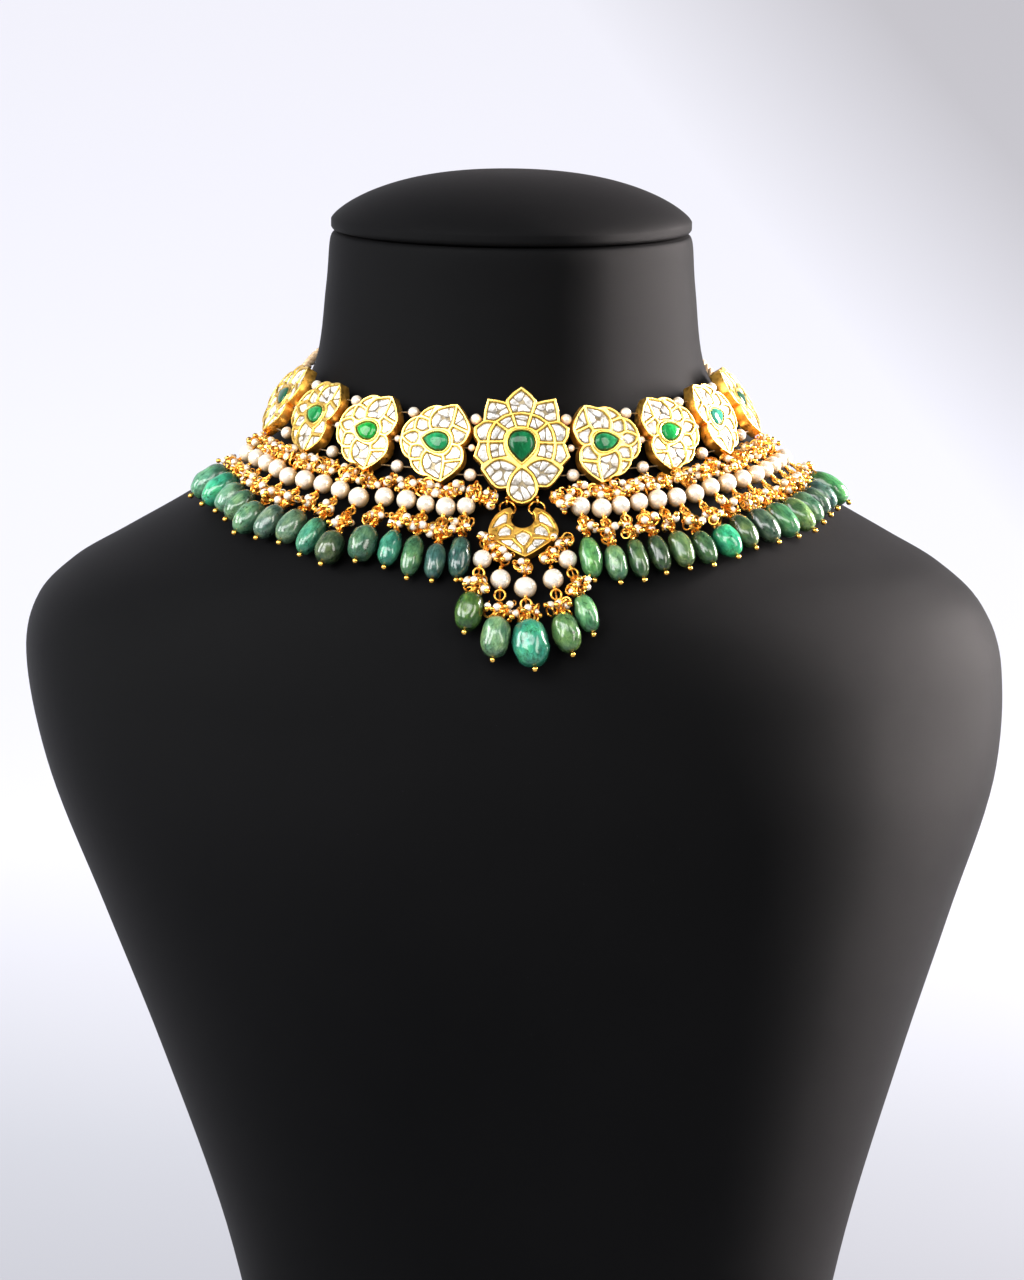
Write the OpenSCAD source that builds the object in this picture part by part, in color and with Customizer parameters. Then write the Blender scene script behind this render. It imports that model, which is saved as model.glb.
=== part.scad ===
// Polki choker necklace with a crescent pendant, on a plain neck bust.
// Millimetres. +Z is up, the bust faces -Y, and the origin is on the base below the neck.

/* [Bust] */
// Height of the rim on which the cap sits
rim_h = 362; // [356:1:370]
// Full width across the shoulders
shoulder_w = 294; // [284:1:304]
// Radius of the neck below the cap
neck_r = 54.2; // [53:0.1:55]
// Height of the straight edge of the cap
cap_edge = 3.3; // [2:0.1:5]
// Rise of the domed cap above its edge
cap_rise = 14.7; // [10:0.1:20]

/* [Choker] */
// Radius of the ring on which the flowers' front faces sit
ring_r = 70; // [69.5:0.1:71]
// How far below the rim the ring passes at the front
ring_drop = 55.4; // [54:0.1:56]
// How much higher the ring is at the sides
ring_rise = 10.2; // [9:0.1:12]
// Backward lean of the centre flower, in degrees
lean_front = 20; // [18:0.5:22]
// How much more the flowers lean at the sides
lean_side = 18; // [14:0.5:20]
// Angle from the centre flower to the first side flower
first_step = 20.6; // [20.5:0.1:21]
// Angle between two side flowers
side_step = 18.5; // [18.4:0.1:19.2]
// Thickness of a flower's gold plate
plate_t = 3.4; // [3:0.1:3.8]
// Half the width of a gold rib between two cells
rib_half = 0.33; // [0.25:0.01:0.4]
// Depth of the cells for the polki stones
cell_depth = 1.1; // [0.9:0.05:1.3]
// Diameter of the jewel's threads
thread_d = 0.4; // [0.3:0.05:0.5]

/* [Fringe] */
// Diameter of the wire of the headpins
pin_d = 0.6; // [0.5:0.05:0.7]
// Diameter of the gold ball at the end of a headpin
ball_d = 1.7; // [1.4:0.1:2]
// Diameter of the drill holes in pearls and beads
drill_d = 0.9; // [0.8:0.05:1]
// Diameter of the upper bundle of links
upper_links_d = 2.2; // [1.8:0.1:2.4]
// Diameter of the lower bundle of links
lower_links_d = 2.4; // [2:0.1:2.6]
// Gap kept between the bust and the beads
bead_gap = 0.4; // [0.3:0.1:0.8]

/* [Pendant] */
// Radius at which the crescent's front face sits
crescent_r = 79.8; // [79.7:0.1:80.6]
// How far below the rim the middle of the crescent's inner arc is
crescent_drop = 75.1; // [74.8:0.1:75.3]
// Backward lean of the crescent, in degrees
crescent_lean = 43; // [41:0.5:45]
// Thickness of the crescent
crescent_t = 3.2; // [2.8:0.1:3.3]

/* [Neck cord] */
// Diameter of the neck cord
cord_d = 3; // [2.6:0.1:3.2]
// Length of the clasp
clasp_l = 12; // [8:1:16]

/* [Hidden] */

satin = "#232226";
gold = "#d9a53c";
polki_white = "#eef0e8";
deep_green = "#0f8a4a";
bead_green = "#4f8f68";
pearl_cream = "#f2e7dc";
cord_gold = "#d7ab62";

LEFT = -1;
RIGHT = 1;
piece_gap = 0.12;
stone_gap = 0.15;
round_fn = 48;
half_shoulder = shoulder_w / 2;
ring_z = rim_h - ring_drop;
crescent_z = rim_h - crescent_drop;

// Sections of the bust: drop below the rim, half width, front depth, back depth, squareness,
// and how far the section's middle stands to the right
BUST_ROWS = [
    [rim_h, 0.56 * half_shoulder, 66, 58, 2.5, 12],
    [302, 0.648 * half_shoulder, 84, 60, 2.5, 10.6],
    [247, 0.765 * half_shoulder, 98, 62, 2.45, 8.6],
    [202, 0.873 * half_shoulder, 107.5, 63, 2.4, 6.7],
    [162, 0.97 * half_shoulder, 110.5, 64, 2.35, 5],
    [130, half_shoulder, 106.5, 64, 2.3, 2.4],
    [112, 0.972 * half_shoulder, 101.5, 63, 2.25, 0.8],
    [100, 0.894 * half_shoulder, 95.4, 62, 2.2, 0],
    [90.5, 0.785 * half_shoulder, 88.4, 61, 2.12, 0],
    [80, 0.66 * half_shoulder, 78.9, 60.5, 2.06, 0],
    [70, 82, 69.8, 60, 2.03, 0],
    [57, 69.5, 64.2, 59, 2, 0],
    [40.5, 58.6, 58.2, 57.2, 2, 0],
    [17, neck_r + 1.1, neck_r + 0.8, neck_r + 0.6, 2, 0],
    [3, neck_r, neck_r, neck_r, 2, 0],
    [0.4, neck_r - 1.6, neck_r - 1.6, neck_r - 1.6, 2, 0]
];
BUST_SUBROWS = 2;
BUST_SIDES = 44;

// Outline of a side flower, upper half: outward from the centre flower, upward
SIDE_HALF = [
    [10.6, 0], [10.45, 2.3], [9.4, 4.5], [8.2, 5.7], [6.5, 6.5], [5.4, 8.3], [3.6, 9.7],
    [1.6, 10.3], [-0.2, 10.2], [-2.4, 11.1], [-4.2, 11.4], [-6.9, 8.9], [-8.9, 6.2],
    [-9.4, 4.4], [-9.0, 2.2], [-8.2, 0.7], [-7.3, 0]
];
// Cells of a side flower's upper half; the lower half mirrors them
MAIN_PETAL = [
    [2.1, 3.2], [2.95, 4.8], [2.9, 7.0], [1.4, 9.3], [-0.3, 10.1], [-2.4, 10.9],
    [-4.0, 11.2], [-4.0, 8.3], [-3.8, 5.6], [-3.1, 3.8], [-0.6, 3.7]
];
INNER_LEAF = [
    [-4.2, 11.1], [-6.9, 8.8], [-8.8, 6.1], [-9.2, 4.3], [-6.3, 4.9], [-4.0, 5.6], [-4.1, 8.3]
];
INNER_ROUND = [
    [-3.3, 3.8], [-4.0, 5.2], [-6.3, 4.7], [-8.8, 4.0], [-8.8, 2.3], [-8.0, 0.9],
    [-6.7, 0.1], [-5.0, 0.2], [-4.6, 2.1]
];
OUTER_LEAF = [
    [3.0, 5.9], [5.1, 6.5], [6.2, 6.8], [5.3, 8.2], [3.6, 9.5], [2.4, 9.9], [2.7, 8.6], [3.0, 7.2]
];
OUTER_SQUARE = [
    [2.4, 3.0], [3.1, 4.5], [3.2, 5.7], [5.1, 6.2], [6.8, 6.2], [7.2, 4.2], [7.0, 2.5],
    [5.3, 1.9], [3.9, 2.0]
];
OUTER_RIM = [
    [6.9, 6.2], [7.3, 4.2], [7.1, 2.4], [8.9, 1.6], [10.4, 0.4], [10.3, 2.2], [9.3, 4.4], [8.1, 5.5]
];
AXIS_CELL = [
    [10.4, 0], [8.9, 1.4], [7.0, 2.1], [5.6, 1.6], [5.1, 0], [5.6, -1.6], [7.0, -2.1], [8.9, -1.4]
];
SIDE_CELLS = [MAIN_PETAL, INNER_LEAF, INNER_ROUND, OUTER_LEAF, OUTER_SQUARE, OUTER_RIM];
// Bezel of a side flower's emerald, upper half, with its point outward
SIDE_BEZEL_HALF = [
    [5.0, 0], [3.4, 1.8], [1.5, 3.0], [-0.7, 3.5], [-2.9, 3.1], [-4.3, 1.8], [-4.8, 0]
];

// Outline of the centre flower, right half: rightward, upward
CENTER_HALF = [
    [0, -16.8], [2.5, -16.0], [4.1, -14.1], [4.4, -12.2], [7.1, -12.3], [9.0, -10.8],
    [11.6, -6.9], [11.4, -5.5], [13.7, -3.0], [12.1, 1.0], [13.3, 2.8], [13.4, 5.2],
    [10.8, 7.2], [10.5, 10.5], [9.6, 13.6], [6.1, 13.1], [4.3, 12.6], [4.1, 13.5],
    [2.2, 15.6], [0, 17.2]
];
// Cells of the centre flower that lie on its axis, right halves
CENTER_AXIS_CELLS = [
    [[0, -16.6], [2.5, -15.8], [4.0, -14.0], [4.0, -11.8], [3.1, -9.2], [1.5, -7.5], [0, -6.6]],
    [[0, 5.5], [1.6, 5.4], [2.75, 9.3], [0, 9.7]],
    [[0, 9.8], [2.9, 9.4], [3.6, 11.4], [4.0, 13.3], [2.1, 15.3], [0, 17.0]]
];
// Cells of the centre flower's right half; the left half mirrors them
CENTER_CELLS = [
    [[1.6, 5.4], [2.9, 5.0], [4.0, 4.3], [7.4, 6.8], [5.3, 8.4], [2.9, 9.3]],
    [[4.1, 4.2], [4.7, 2.8], [4.9, 1.2], [9.5, 1.2], [8.9, 4.3], [7.5, 6.7]],
    [[4.9, 1.0], [4.6, -1.4], [3.8, -3.4], [6.2, -3.7], [8.8, -4.2], [9.4, -1.5], [9.5, 1.0]],
    [[3.0, 9.4], [5.4, 8.5], [7.6, 7.0], [10.6, 7.3], [10.4, 10.4], [9.5, 13.3], [6.2, 12.9],
        [4.3, 12.4], [3.7, 11.2]],
    [[7.7, 6.8], [9.0, 4.4], [9.7, 1.2], [11.9, 1.2], [13.1, 2.9], [13.2, 5.1], [10.7, 7.0]],
    [[9.7, 1.0], [9.6, -1.5], [9.0, -4.2], [11.2, -5.4], [13.5, -2.9], [11.9, 1.0]],
    [[1.0, -6.5], [3.1, -4.9], [6.0, -3.9], [8.7, -4.6], [11.4, -6.9], [8.9, -10.6],
        [7.0, -12.1], [4.3, -12.0], [3.3, -9.1], [1.9, -7.5]]
];
// Bezel of the centre flower's emerald, right half, with its point down
CENTER_BEZEL_HALF = [
    [0, -6.1], [2.2, -4.1], [4.1, -1.6], [4.7, 0.9], [4.0, 3.3], [2.4, 4.8], [0, 5.2]
];

// Outer edge of the crescent, right half: rightward, upward from the middle of the inner arc
CRESCENT_HALF = [[0, -13.0], [4.6, -10.2], [8.9, -6.9], [9.8, -4.5], [9.0, -1.5], [7.3, 1.4], [5.4, 2.9]];
crescent_arc_r = 3.65;
crescent_arc_end = 35;
// Cells of the crescent's right half, then the shield on its axis as a right half
CRESCENT_CELLS = [
    [[3.9, 1.6], [5.2, 2.3], [7.0, 1.0], [8.6, -1.7], [9.2, -3.7], [7.8, -3.3], [5.8, -2.1], [4.1, -1.4]],
    [[2.8, -3.3], [4.8, -1.9], [6.8, -3.1], [7.8, -5.3], [7.2, -6.5], [5.2, -6.3], [3.1, -5.8]],
    [[2.9, -6.7], [5.2, -6.8], [7.8, -7.2], [3.8, -10.6], [0.4, -12.6], [0.3, -10.2], [1.9, -8.4]]
];
CRESCENT_SHIELD = [[0, -9.8], [1.5, -8.3], [2.7, -6.4], [2.4, -5.2], [0, -3.9]];

// Rows of spacer pearls: height on the flowers, pearl diameter, and how far the side flowers
// reach inward and outward and the centre flower reaches out at that height
SPACER_ROWS = [
    [8.2, 3.2, 7.6, 5.7, 10.9],
    [-0.2, 2.1, 8.4, 10.7, 12.4],
    [-8.3, 3.6, 7.5, 5.5, 10.8]
];

// Drops of the fringe: angle from the front, pearl diameter, bead width, bead length, and how
// much farther down the skin the drop hangs than its neighbours
LEFT_DROPS = [
    [11.9, 5.4, 6.8, 13.2, -1.6], [16.1, 6.0, 6.3, 11.2, -0.6], [20.4, 5.4, 6.6, 13.2, -1.2],
    [24.7, 6.0, 7.0, 11.5, -2.2], [29.6, 5.8, 8.6, 11.6, -1.8], [35.0, 6.2, 8.5, 10.8, 1.4],
    [39.9, 5.6, 7.3, 12.6, -0.4], [44.7, 5.9, 8.0, 11.6, -1.0], [49.6, 6.0, 7.8, 11.6, 0],
    [54.5, 5.6, 7.8, 11.6, 1.2], [59.4, 5.7, 7.5, 10.8, -0.8], [64.2, 5.5, 7.1, 10.4, -1.4],
    [69.2, 5.6, 7.8, 12.4, -1.6], [75.0, 5.6, 8.4, 12.8, -1.4]
];
RIGHT_DROPS = [
    [12.2, 5.9, 6.9, 13.2, -1.6], [16.6, 6.0, 6.6, 11.2, -0.2], [20.9, 5.7, 6.1, 12.6, -0.8],
    [25.1, 5.6, 6.3, 11.6, -1.2], [29.4, 5.9, 7.0, 11.8, -1.0], [33.9, 5.8, 6.8, 10.8, 0],
    [38.6, 5.6, 8.1, 10.6, 0.4], [43.5, 5.6, 7.3, 11.4, -0.8], [48.4, 5.8, 8.0, 12.2, 0],
    [53.5, 5.6, 7.9, 12.4, 0.8], [58.6, 5.7, 7.6, 12.4, 1.6], [63.4, 5.5, 7.2, 11.6, 1.4],
    [68.2, 5.4, 7.0, 10.6, 1.6], [73.0, 5.3, 7.1, 10.8, 1.8], [78.4, 5.5, 8.4, 13.6, 2.4]
];
// Where the drops pass over the skin of the bust: radius at the front and at the side, how much
// more between them, and height over the skin at the front and at the side
UPPER_ROW = [71.0, 75.2, 1.0, 4.6, 2.8];
LOWER_ROW = [78.9, 83.4, 2.4, 5.0, 4.4];
BEAD_ROW = [86.7, 91.3, 4.0];
row_side_angle = 80;

// Drops of the pendant, left to right: the place of the upper loop on the crescent, angle and
// skin radius of the lower loop, angle and skin radius of the bead, pearl diameter, bead width, length
PENDANT_DROPS = [
    [[-10.3, -6.8], -8.2, 91.3, -9.1, 97.0, 5.5, 8.6, 11.8],
    [[-6.3, -11.2], -4.3, 95.6, -4.8, 99.9, 6.0, 8.8, 12.2],
    [[0, -15.0], 0.1, 96.2, 0.7, 100.4, 6.4, 10.8, 14.4],
    [[7.0, -11.2], 5.3, 95.5, 6.3, 99.5, 6.0, 8.2, 11.8],
    [[10.6, -6.8], 8.6, 91.4, 9.9, 97.3, 5.5, 6.8, 11.4]
];
pendant_links_d = 1.8;
pendant_lift = 4.8;

// Route of the neck cord behind the right side: angle from the front, radius, height over the ring
CORD_ROUTE = [
    [97, 66.9, 6], [104, 64.3, 10.4], [112, 62.3, 14.9], [123, 60.8, 18.4], [138, 60.4, 20.6],
    [153, 60.5, 21.6], [168, 60.7, 22], [180, 60.7, 22]
];
// Ferrule of the cord: its root on the last flower, how far it turns down, its length, and how
// far along it the points of the cord's end are
ferrule_root = [9, -3.2, -3.5];
ferrule_turn = 11;
ferrule_l = 6;
cord_starts = [2.2, 5.9, 8.6];

// A smooth curve through points: the value between b and c at t from 0 to 1
function curve(a, b, c, d, t) =
    0.5 * (2 * b + (c - a) * t + (2 * a - 5 * b + 4 * c - d) * t * t
    + (3 * b - a - 3 * c + d) * t * t * t);
function row_at(rows, s) =
    let (last = len(rows) - 1, i = min(floor(s), last - 1))
    curve(rows[max(i - 1, 0)], rows[i], rows[i + 1], rows[min(i + 2, last)], s - i);
function unit(v) = v / norm(v);
function flat(lists) = [for (l = lists) each l];
function mix(a, b, t) = a + (b - a) * t;
function polar(angle, r, z) = [r * sin(angle), -r * cos(angle), z];

// The bust's skin
function bust_height(row) = rim_h - row[0];
function bust_radius(angle, row) =
    let (depth = cos(angle) > 0 ? row[2] : row[3], n = row[4])
    1 / pow(pow(abs(sin(angle)) / row[1], n) + pow(abs(cos(angle)) / depth, n), 1 / n);
function bust_ring(s) =
    let (row = row_at(BUST_ROWS, s))
    [for (i = [0 : BUST_SIDES - 1])
        let (angle = i * 360 / BUST_SIDES)
        polar(angle, bust_radius(angle, row), bust_height(row)) + [row[5], 0, 0]];
// The station of the skin above the shoulders whose radius at this angle is r
function skin_station(angle, r, low, high, steps) =
    let (s = (low + high) / 2)
    steps == 0 ? s
    : bust_radius(angle, row_at(BUST_ROWS, s)) > r ? skin_station(angle, r, s, high, steps - 1)
    : skin_station(angle, r, low, s, steps - 1);
// A point over the skin, at a skin radius and a height along the skin's normal
function over_skin(angle, r, height) =
    let (
        s = skin_station(angle, r, 5, 13, 14),
        low = row_at(BUST_ROWS, s - 0.05),
        high = row_at(BUST_ROWS, s + 0.05),
        out = bust_radius(angle, low) - bust_radius(angle, high),
        up = bust_height(high) - bust_height(low),
        n = unit([up, out])
    )
    polar(angle, r + n[0] * height, bust_height(row_at(BUST_ROWS, s)) + n[1] * height);

// The frame of a flower: its angle, height, lean and roll on the ring
function flower_angle(k) = k == 0 ? 0 : first_step + side_step * (k - 1);
function flower_z(k) = ring_z + ring_rise * (1 - cos(flower_angle(k)));
function flower_lean(k) = lean_front + lean_side * (1 - cos(flower_angle(k)));
function flower_roll(k) = k == 0 ? 0 : 3 + atan(ring_rise * sin(flower_angle(k)) / ring_r);
function turned(p, angle) =
    [p[0] * cos(angle) - p[1] * sin(angle), p[0] * sin(angle) + p[1] * cos(angle), p[2]];
function leaned(p, r, z, lean) =
    [p[0], -r - p[2] * cos(lean) + p[1] * sin(lean), z + p[2] * sin(lean) + p[1] * cos(lean)];
// A point given on a flower (outward, up, out of the front face), in the bust's frame
function flower_point(side, k, p) =
    turned(
        leaned(turned([side * p[0], p[1], p[2]], side * flower_roll(k)), ring_r, flower_z(k), flower_lean(k)),
        side * flower_angle(k));
function crescent_point(p) = leaned(p, crescent_r, crescent_z, crescent_lean);

// Mirrored outlines and insets
function mirror_up(half) =
    concat(half, [for (i = [len(half) - 2 : -1 : 1]) [half[i][0], -half[i][1]]]);
function mirror_across(half) =
    concat(half, [for (i = [len(half) - 2 : -1 : 1]) [-half[i][0], half[i][1]]]);
function flipped_up(cell) = [for (i = [len(cell) - 1 : -1 : 0]) [cell[i][0], -cell[i][1]]];
function flipped_across(cell) = [for (i = [len(cell) - 1 : -1 : 0]) [-cell[i][0], cell[i][1]]];
function area(poly) =
    let (n = len(poly))
    [for (i = [0 : n - 1]) cross(poly[i], poly[(i + 1) % n])] * [for (i = [0 : n - 1]) 0.5];
function ordered(poly) = area(poly) > 0 ? poly : [for (i = [len(poly) - 1 : -1 : 0]) poly[i]];
function edge_normal(a, b) = unit([a[1] - b[1], b[0] - a[0]]);
function inset(poly, d, limit = 0.55) =
    let (n = len(poly))
    [for (i = [0 : n - 1])
        let (
            n1 = edge_normal(poly[(i + n - 1) % n], poly[i]),
            n2 = edge_normal(poly[i], poly[(i + 1) % n])
        )
        poly[i] + d * (n1 + n2) / max(1 + n1 * n2, limit)];
function middle(poly) = [for (p = poly) 1 / len(poly)] * poly;
function shrunk(poly, k) = let (m = middle(poly)) [for (p = poly) m + (p - m) * k];
function raised(poly, z) = [for (p = poly) [p[0], p[1], z]];

function side_cells() =
    [for (cell = concat(SIDE_CELLS, [for (c = SIDE_CELLS) flipped_up(c)], [AXIS_CELL])) ordered(cell)];
function center_cells() =
    [for (cell = concat(
        [for (half = CENTER_AXIS_CELLS) mirror_across(half)],
        CENTER_CELLS,
        [for (c = CENTER_CELLS) flipped_across(c)]))
        ordered(cell)];
function crescent_cells() =
    [for (cell = concat(
        CRESCENT_CELLS, [for (c = CRESCENT_CELLS) flipped_across(c)], [mirror_across(CRESCENT_SHIELD)]))
        ordered(cell)];
side_bezel = mirror_up(SIDE_BEZEL_HALF);
center_bezel = mirror_across(CENTER_BEZEL_HALF);

// A closed solid through rings of points, each ring counterclockwise seen from the last one
module loft(rings) {
    n = len(rings[0]);
    m = len(rings);
    polyhedron(
        points = concat(flat(rings), [middle(rings[0]), middle(rings[m - 1])]),
        faces = concat(
            [for (j = [0 : n - 1]) [j, (j + 1) % n, m * n]],
            [for (j = [0 : n - 1]) [(m - 1) * n + (j + 1) % n, (m - 1) * n + j, m * n + 1]],
            [for (i = [0 : m - 2], j = [0 : n - 1])
                let (a = i * n + j, b = i * n + (j + 1) % n) [a, a + n, b + n, b]]
        )
    );
}

// A route through points that runs a little past both ends
function stretched(points, k) =
    let (n = len(points) - 1)
    concat(
        [points[0] + (points[0] - points[1]) * k],
        points,
        [points[n] + (points[n] - points[n - 1]) * k]);
function smooth_route(points, steps) =
    [for (i = [0 : steps]) row_at(points, (len(points) - 1) * i / steps)];

// A tube of some sides along a route
module tube(route, d, sides) {
    last = len(route) - 1;
    loft([for (i = [0 : last])
        let (
            along = unit(route[min(i + 1, last)] - route[max(i - 1, 0)]),
            e1 = unit(cross(along, [0, 0, 1])),
            e2 = cross(along, e1)
        )
        [for (j = [0 : sides - 1])
            let (a = 360 * j / sides) route[i] + d / 2 * (cos(a) * e1 + sin(a) * e2)]]);
}

// Children stand at p with their +Z along a direction
module aimed(p, along) {
    u = unit(along);
    translate(p) rotate([0, acos(u[2]), atan2(u[1], u[0])]) children();
}
module rod(p, q, d) {
    aimed(p, q - p) cylinder(h = norm(q - p), d = d, $fn = round_fn);
}
module torus(r, wire_r) {
    rotate_extrude($fn = round_fn) translate([r, 0]) circle(wire_r, $fn = 24);
}
// A ring that passes through both points and lies level across the line between them
module link_ring(p, q, wire_r) {
    aimed((p + q) / 2, q - p) rotate([0, 90, 0]) torus(norm(q - p) / 2, wire_r);
}

// Bust
module neck_bust() {
    rings = (len(BUST_ROWS) - 1) * BUST_SUBROWS;
    color(satin) loft([for (i = [0 : rings]) bust_ring(i / BUST_SUBROWS)]);
}

module bust_cap() {
    dome_steps = 12;
    z = rim_h + piece_gap;
    color(satin) rotate_extrude($fn = 96) polygon(concat(
        [[0, z], [neck_r - 1.8, z], [neck_r - 0.3, z + 1.2]],
        [for (i = [dome_steps : -1 : 0])
            let (t = sin(90 * i / dome_steps))
            [(neck_r - 0.3) * t, rim_h + cap_edge + cap_rise * pow(1 - pow(t, 2.4), 0.75)]]
    ));
}

// Flowers
module on_flower(side, k) {
    rotate([0, 0, side * flower_angle(k)])
        translate([0, -ring_r, flower_z(k)])
            rotate([90 - flower_lean(k), 0, 0])
                rotate([0, 0, side * flower_roll(k)])
                    mirror([side < 0 ? 1 : 0, 0, 0])
                        children();
}

rim_w = 0.25;
bezel_up = 0.35;
seat_depth = 1.5;
seat_inset = 0.75;
bore_depth = 2.35;
eyelet_r = 1.0;
eyelet_wire = 0.3;
side_eyelet = [-3.6, -12.1];
center_eyelet = [4.4, -16.1];
eyelet_stub = [2.9, -14.4];

// A gold plate with a cell for each stone, a seat for its emerald and the threads' bores
module flower_plate(outline, cells, bezel) {
    difference() {
        union() {
            translate([0, 0, -plate_t]) linear_extrude(plate_t) polygon(inset(outline, -rim_w));
            translate([0, 0, -1]) linear_extrude(1 + bezel_up) polygon(inset(bezel, 0.05));
        }
        for (cell = cells)
            translate([0, 0, -cell_depth]) linear_extrude(2) polygon(inset(cell, rib_half));
        translate([0, 0, -seat_depth]) linear_extrude(3) polygon(inset(bezel, seat_inset));
        for (row = SPACER_ROWS)
            translate([-20, row[0], -bore_depth]) rotate([0, 90, 0])
                cylinder(h = 40, d = drill_d + 0.2, $fn = round_fn);
    }
}

module eyelet(at, wire_z) {
    translate([at[0], at[1], wire_z]) rotate([0, 90, 0]) torus(eyelet_r, eyelet_wire);
}

module setting_center() {
    color(gold) on_flower(RIGHT, 0) {
        flower_plate(mirror_across(CENTER_HALF), center_cells(), center_bezel);
        for (s = [LEFT, RIGHT]) {
            eyelet([s * center_eyelet[0], center_eyelet[1]], -plate_t / 2);
            rod([s * eyelet_stub[0], eyelet_stub[1], -plate_t / 2],
                [s * center_eyelet[0], center_eyelet[1] + eyelet_r, -plate_t / 2], 3 * eyelet_wire);
        }
    }
}

module side_setting(side, k) {
    color(gold) on_flower(side, k) {
        flower_plate(mirror_up(SIDE_HALF), side_cells(), side_bezel);
        eyelet(side_eyelet, -plate_t / 2);
        if (k == 4)
            translate(ferrule_root) rotate([0, 90, -ferrule_turn]) difference() {
                cylinder(h = ferrule_l, d = cord_d + 1.4, $fn = round_fn);
                translate([0, 0, 1.6]) cylinder(h = ferrule_l, d = cord_d + 0.6, $fn = round_fn);
            }
    }
}

// Polki stones, each with its girdle in the cell and its table just below the ribs
module polki(cells) {
    color(polki_white) for (cell = cells) {
        girdle = inset(inset(cell, rib_half), stone_gap, 0.2);
        loft([raised(girdle, piece_gap - cell_depth), raised(shrunk(girdle, 0.62), -0.1)]);
    }
}

// A cut emerald with its girdle in the bezel, a crown and a table
module cut_emerald(bezel) {
    girdle = inset(inset(bezel, seat_inset), stone_gap, 0.2);
    color(deep_green) loft([
        raised(girdle, piece_gap - seat_depth),
        raised(girdle, 0.15),
        raised(shrunk(girdle, 0.82), 0.75),
        raised(shrunk(girdle, 0.5), 1.05)
    ]);
}

module side_polki(side, k) {
    on_flower(side, k) polki(side_cells());
}
module side_emerald(side, k) {
    on_flower(side, k) cut_emerald(side_bezel);
}
module polki_center() {
    on_flower(RIGHT, 0) polki(center_cells());
}
module emerald_center() {
    on_flower(RIGHT, 0) cut_emerald(center_bezel);
}

// Where a row's thread enters and leaves a flower
function row_reach(row, k, outward) = k == 0 ? row[4] : outward ? row[3] : -row[2];
function row_point(side, k, row, outward) =
    flower_point(side, k, [row_reach(row, k, outward), row[0], -bore_depth]);
function row_route(row) = concat(
    [flower_point(LEFT, 4, [row[3] - 1, row[0], -bore_depth])],
    [for (k = [4 : -1 : 1]) each [row_point(LEFT, k, row, false), row_point(LEFT, k - 1, row, true)]],
    [for (k = [0 : 3]) each [row_point(RIGHT, k, row, true), row_point(RIGHT, k + 1, row, false)]],
    [flower_point(RIGHT, 4, [row[3] - 1, row[0], -bore_depth])]
);

module row_threads() {
    color(cord_gold) for (row = SPACER_ROWS) tube(row_route(row), thread_d, 6);
}

module pearl(at, along, d) {
    color(pearl_cream) aimed(at, along) difference() {
        sphere(d = d, $fn = round_fn);
        cylinder(h = d + 1, d = drill_d, center = true, $fn = round_fn);
    }
}

module spacer_pearls() {
    for (row = SPACER_ROWS, side = [LEFT, RIGHT], k = [0 : 3]) {
        p = row_point(side, k, row, true);
        q = row_point(side, k + 1, row, false);
        pearl((p + q) / 2, q - p, row[1]);
    }
}

// Drops: a pearl between the upper and lower bundles of links, and a bead below
function side_mix(angle) = (1 - cos(angle)) / (1 - cos(row_side_angle));
function row_radius(row, angle) =
    mix(row[0], row[1], side_mix(angle)) + row[2] * sin(180 * min(angle / row_side_angle, 1));
function row_height(row, angle) = mix(row[3], row[4], side_mix(angle));
function upper_point(side, angle) =
    over_skin(side * angle, row_radius(UPPER_ROW, angle), row_height(UPPER_ROW, angle));
function lower_point(side, drop) =
    over_skin(side * drop[0], row_radius(LOWER_ROW, drop[0]) + drop[4], row_height(LOWER_ROW, drop[0]));
function bead_point(side, drop) =
    over_skin(side * drop[0], row_radius(BEAD_ROW, drop[0]) + drop[4], drop[2] / 2 + bead_gap);
function ball_point(lower, bead, l) = bead + unit(bead - lower) * (l / 2 + 0.5 * ball_d);

// A tumbled bead: a barrel of revolution, drilled along its length
module bead(at, along, w, l) {
    steps = 10;
    fullness = 0.8;
    end = acos(pow(drill_d / w, 1 / fullness));
    color(bead_green) aimed(at, along) rotate_extrude($fn = round_fn) polygon([
        for (i = [0 : steps])
            let (a = mix(-end, end, i / steps)) [w / 2 * pow(cos(a), fullness), l / 2 * sin(a)]
    ]);
}

module fringe_pearls(side, drops) {
    for (drop = drops) {
        u = upper_point(side, drop[0]);
        l = lower_point(side, drop);
        pearl((u + l) / 2, l - u, drop[1]);
    }
}

module fringe_emeralds(side, drops) {
    for (drop = drops) {
        l = lower_point(side, drop);
        b = bead_point(side, drop);
        bead(b, b - l, drop[2], drop[3]);
    }
}

module band(points, d) {
    tube(smooth_route(stretched(points, 0.5), 2 * len(points) + 3), d, 8);
}

module fringe_links(side, drops) {
    color(gold) {
        band([for (drop = drops) upper_point(side, drop[0])], upper_links_d);
        band([for (drop = drops) lower_point(side, drop)], lower_links_d);
        for (drop = drops) {
            l = lower_point(side, drop);
            tip = ball_point(l, bead_point(side, drop), drop[3]);
            rod(upper_point(side, drop[0]), l, pin_d);
            rod(l, tip, pin_d);
            translate(tip) sphere(d = ball_d, $fn = 32);
        }
        for (k = [1 : 4]) {
            hung = flower_point(side, k, [side_eyelet[0], side_eyelet[1], -plate_t / 2]);
            link_ring(hung, upper_point(side, abs(atan2(hung[0], -hung[1]))), eyelet_wire);
        }
    }
}

// Crescent pendant
module on_crescent() {
    translate([0, -crescent_r, crescent_z]) rotate([90 - crescent_lean, 0, 0]) children();
}

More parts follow.
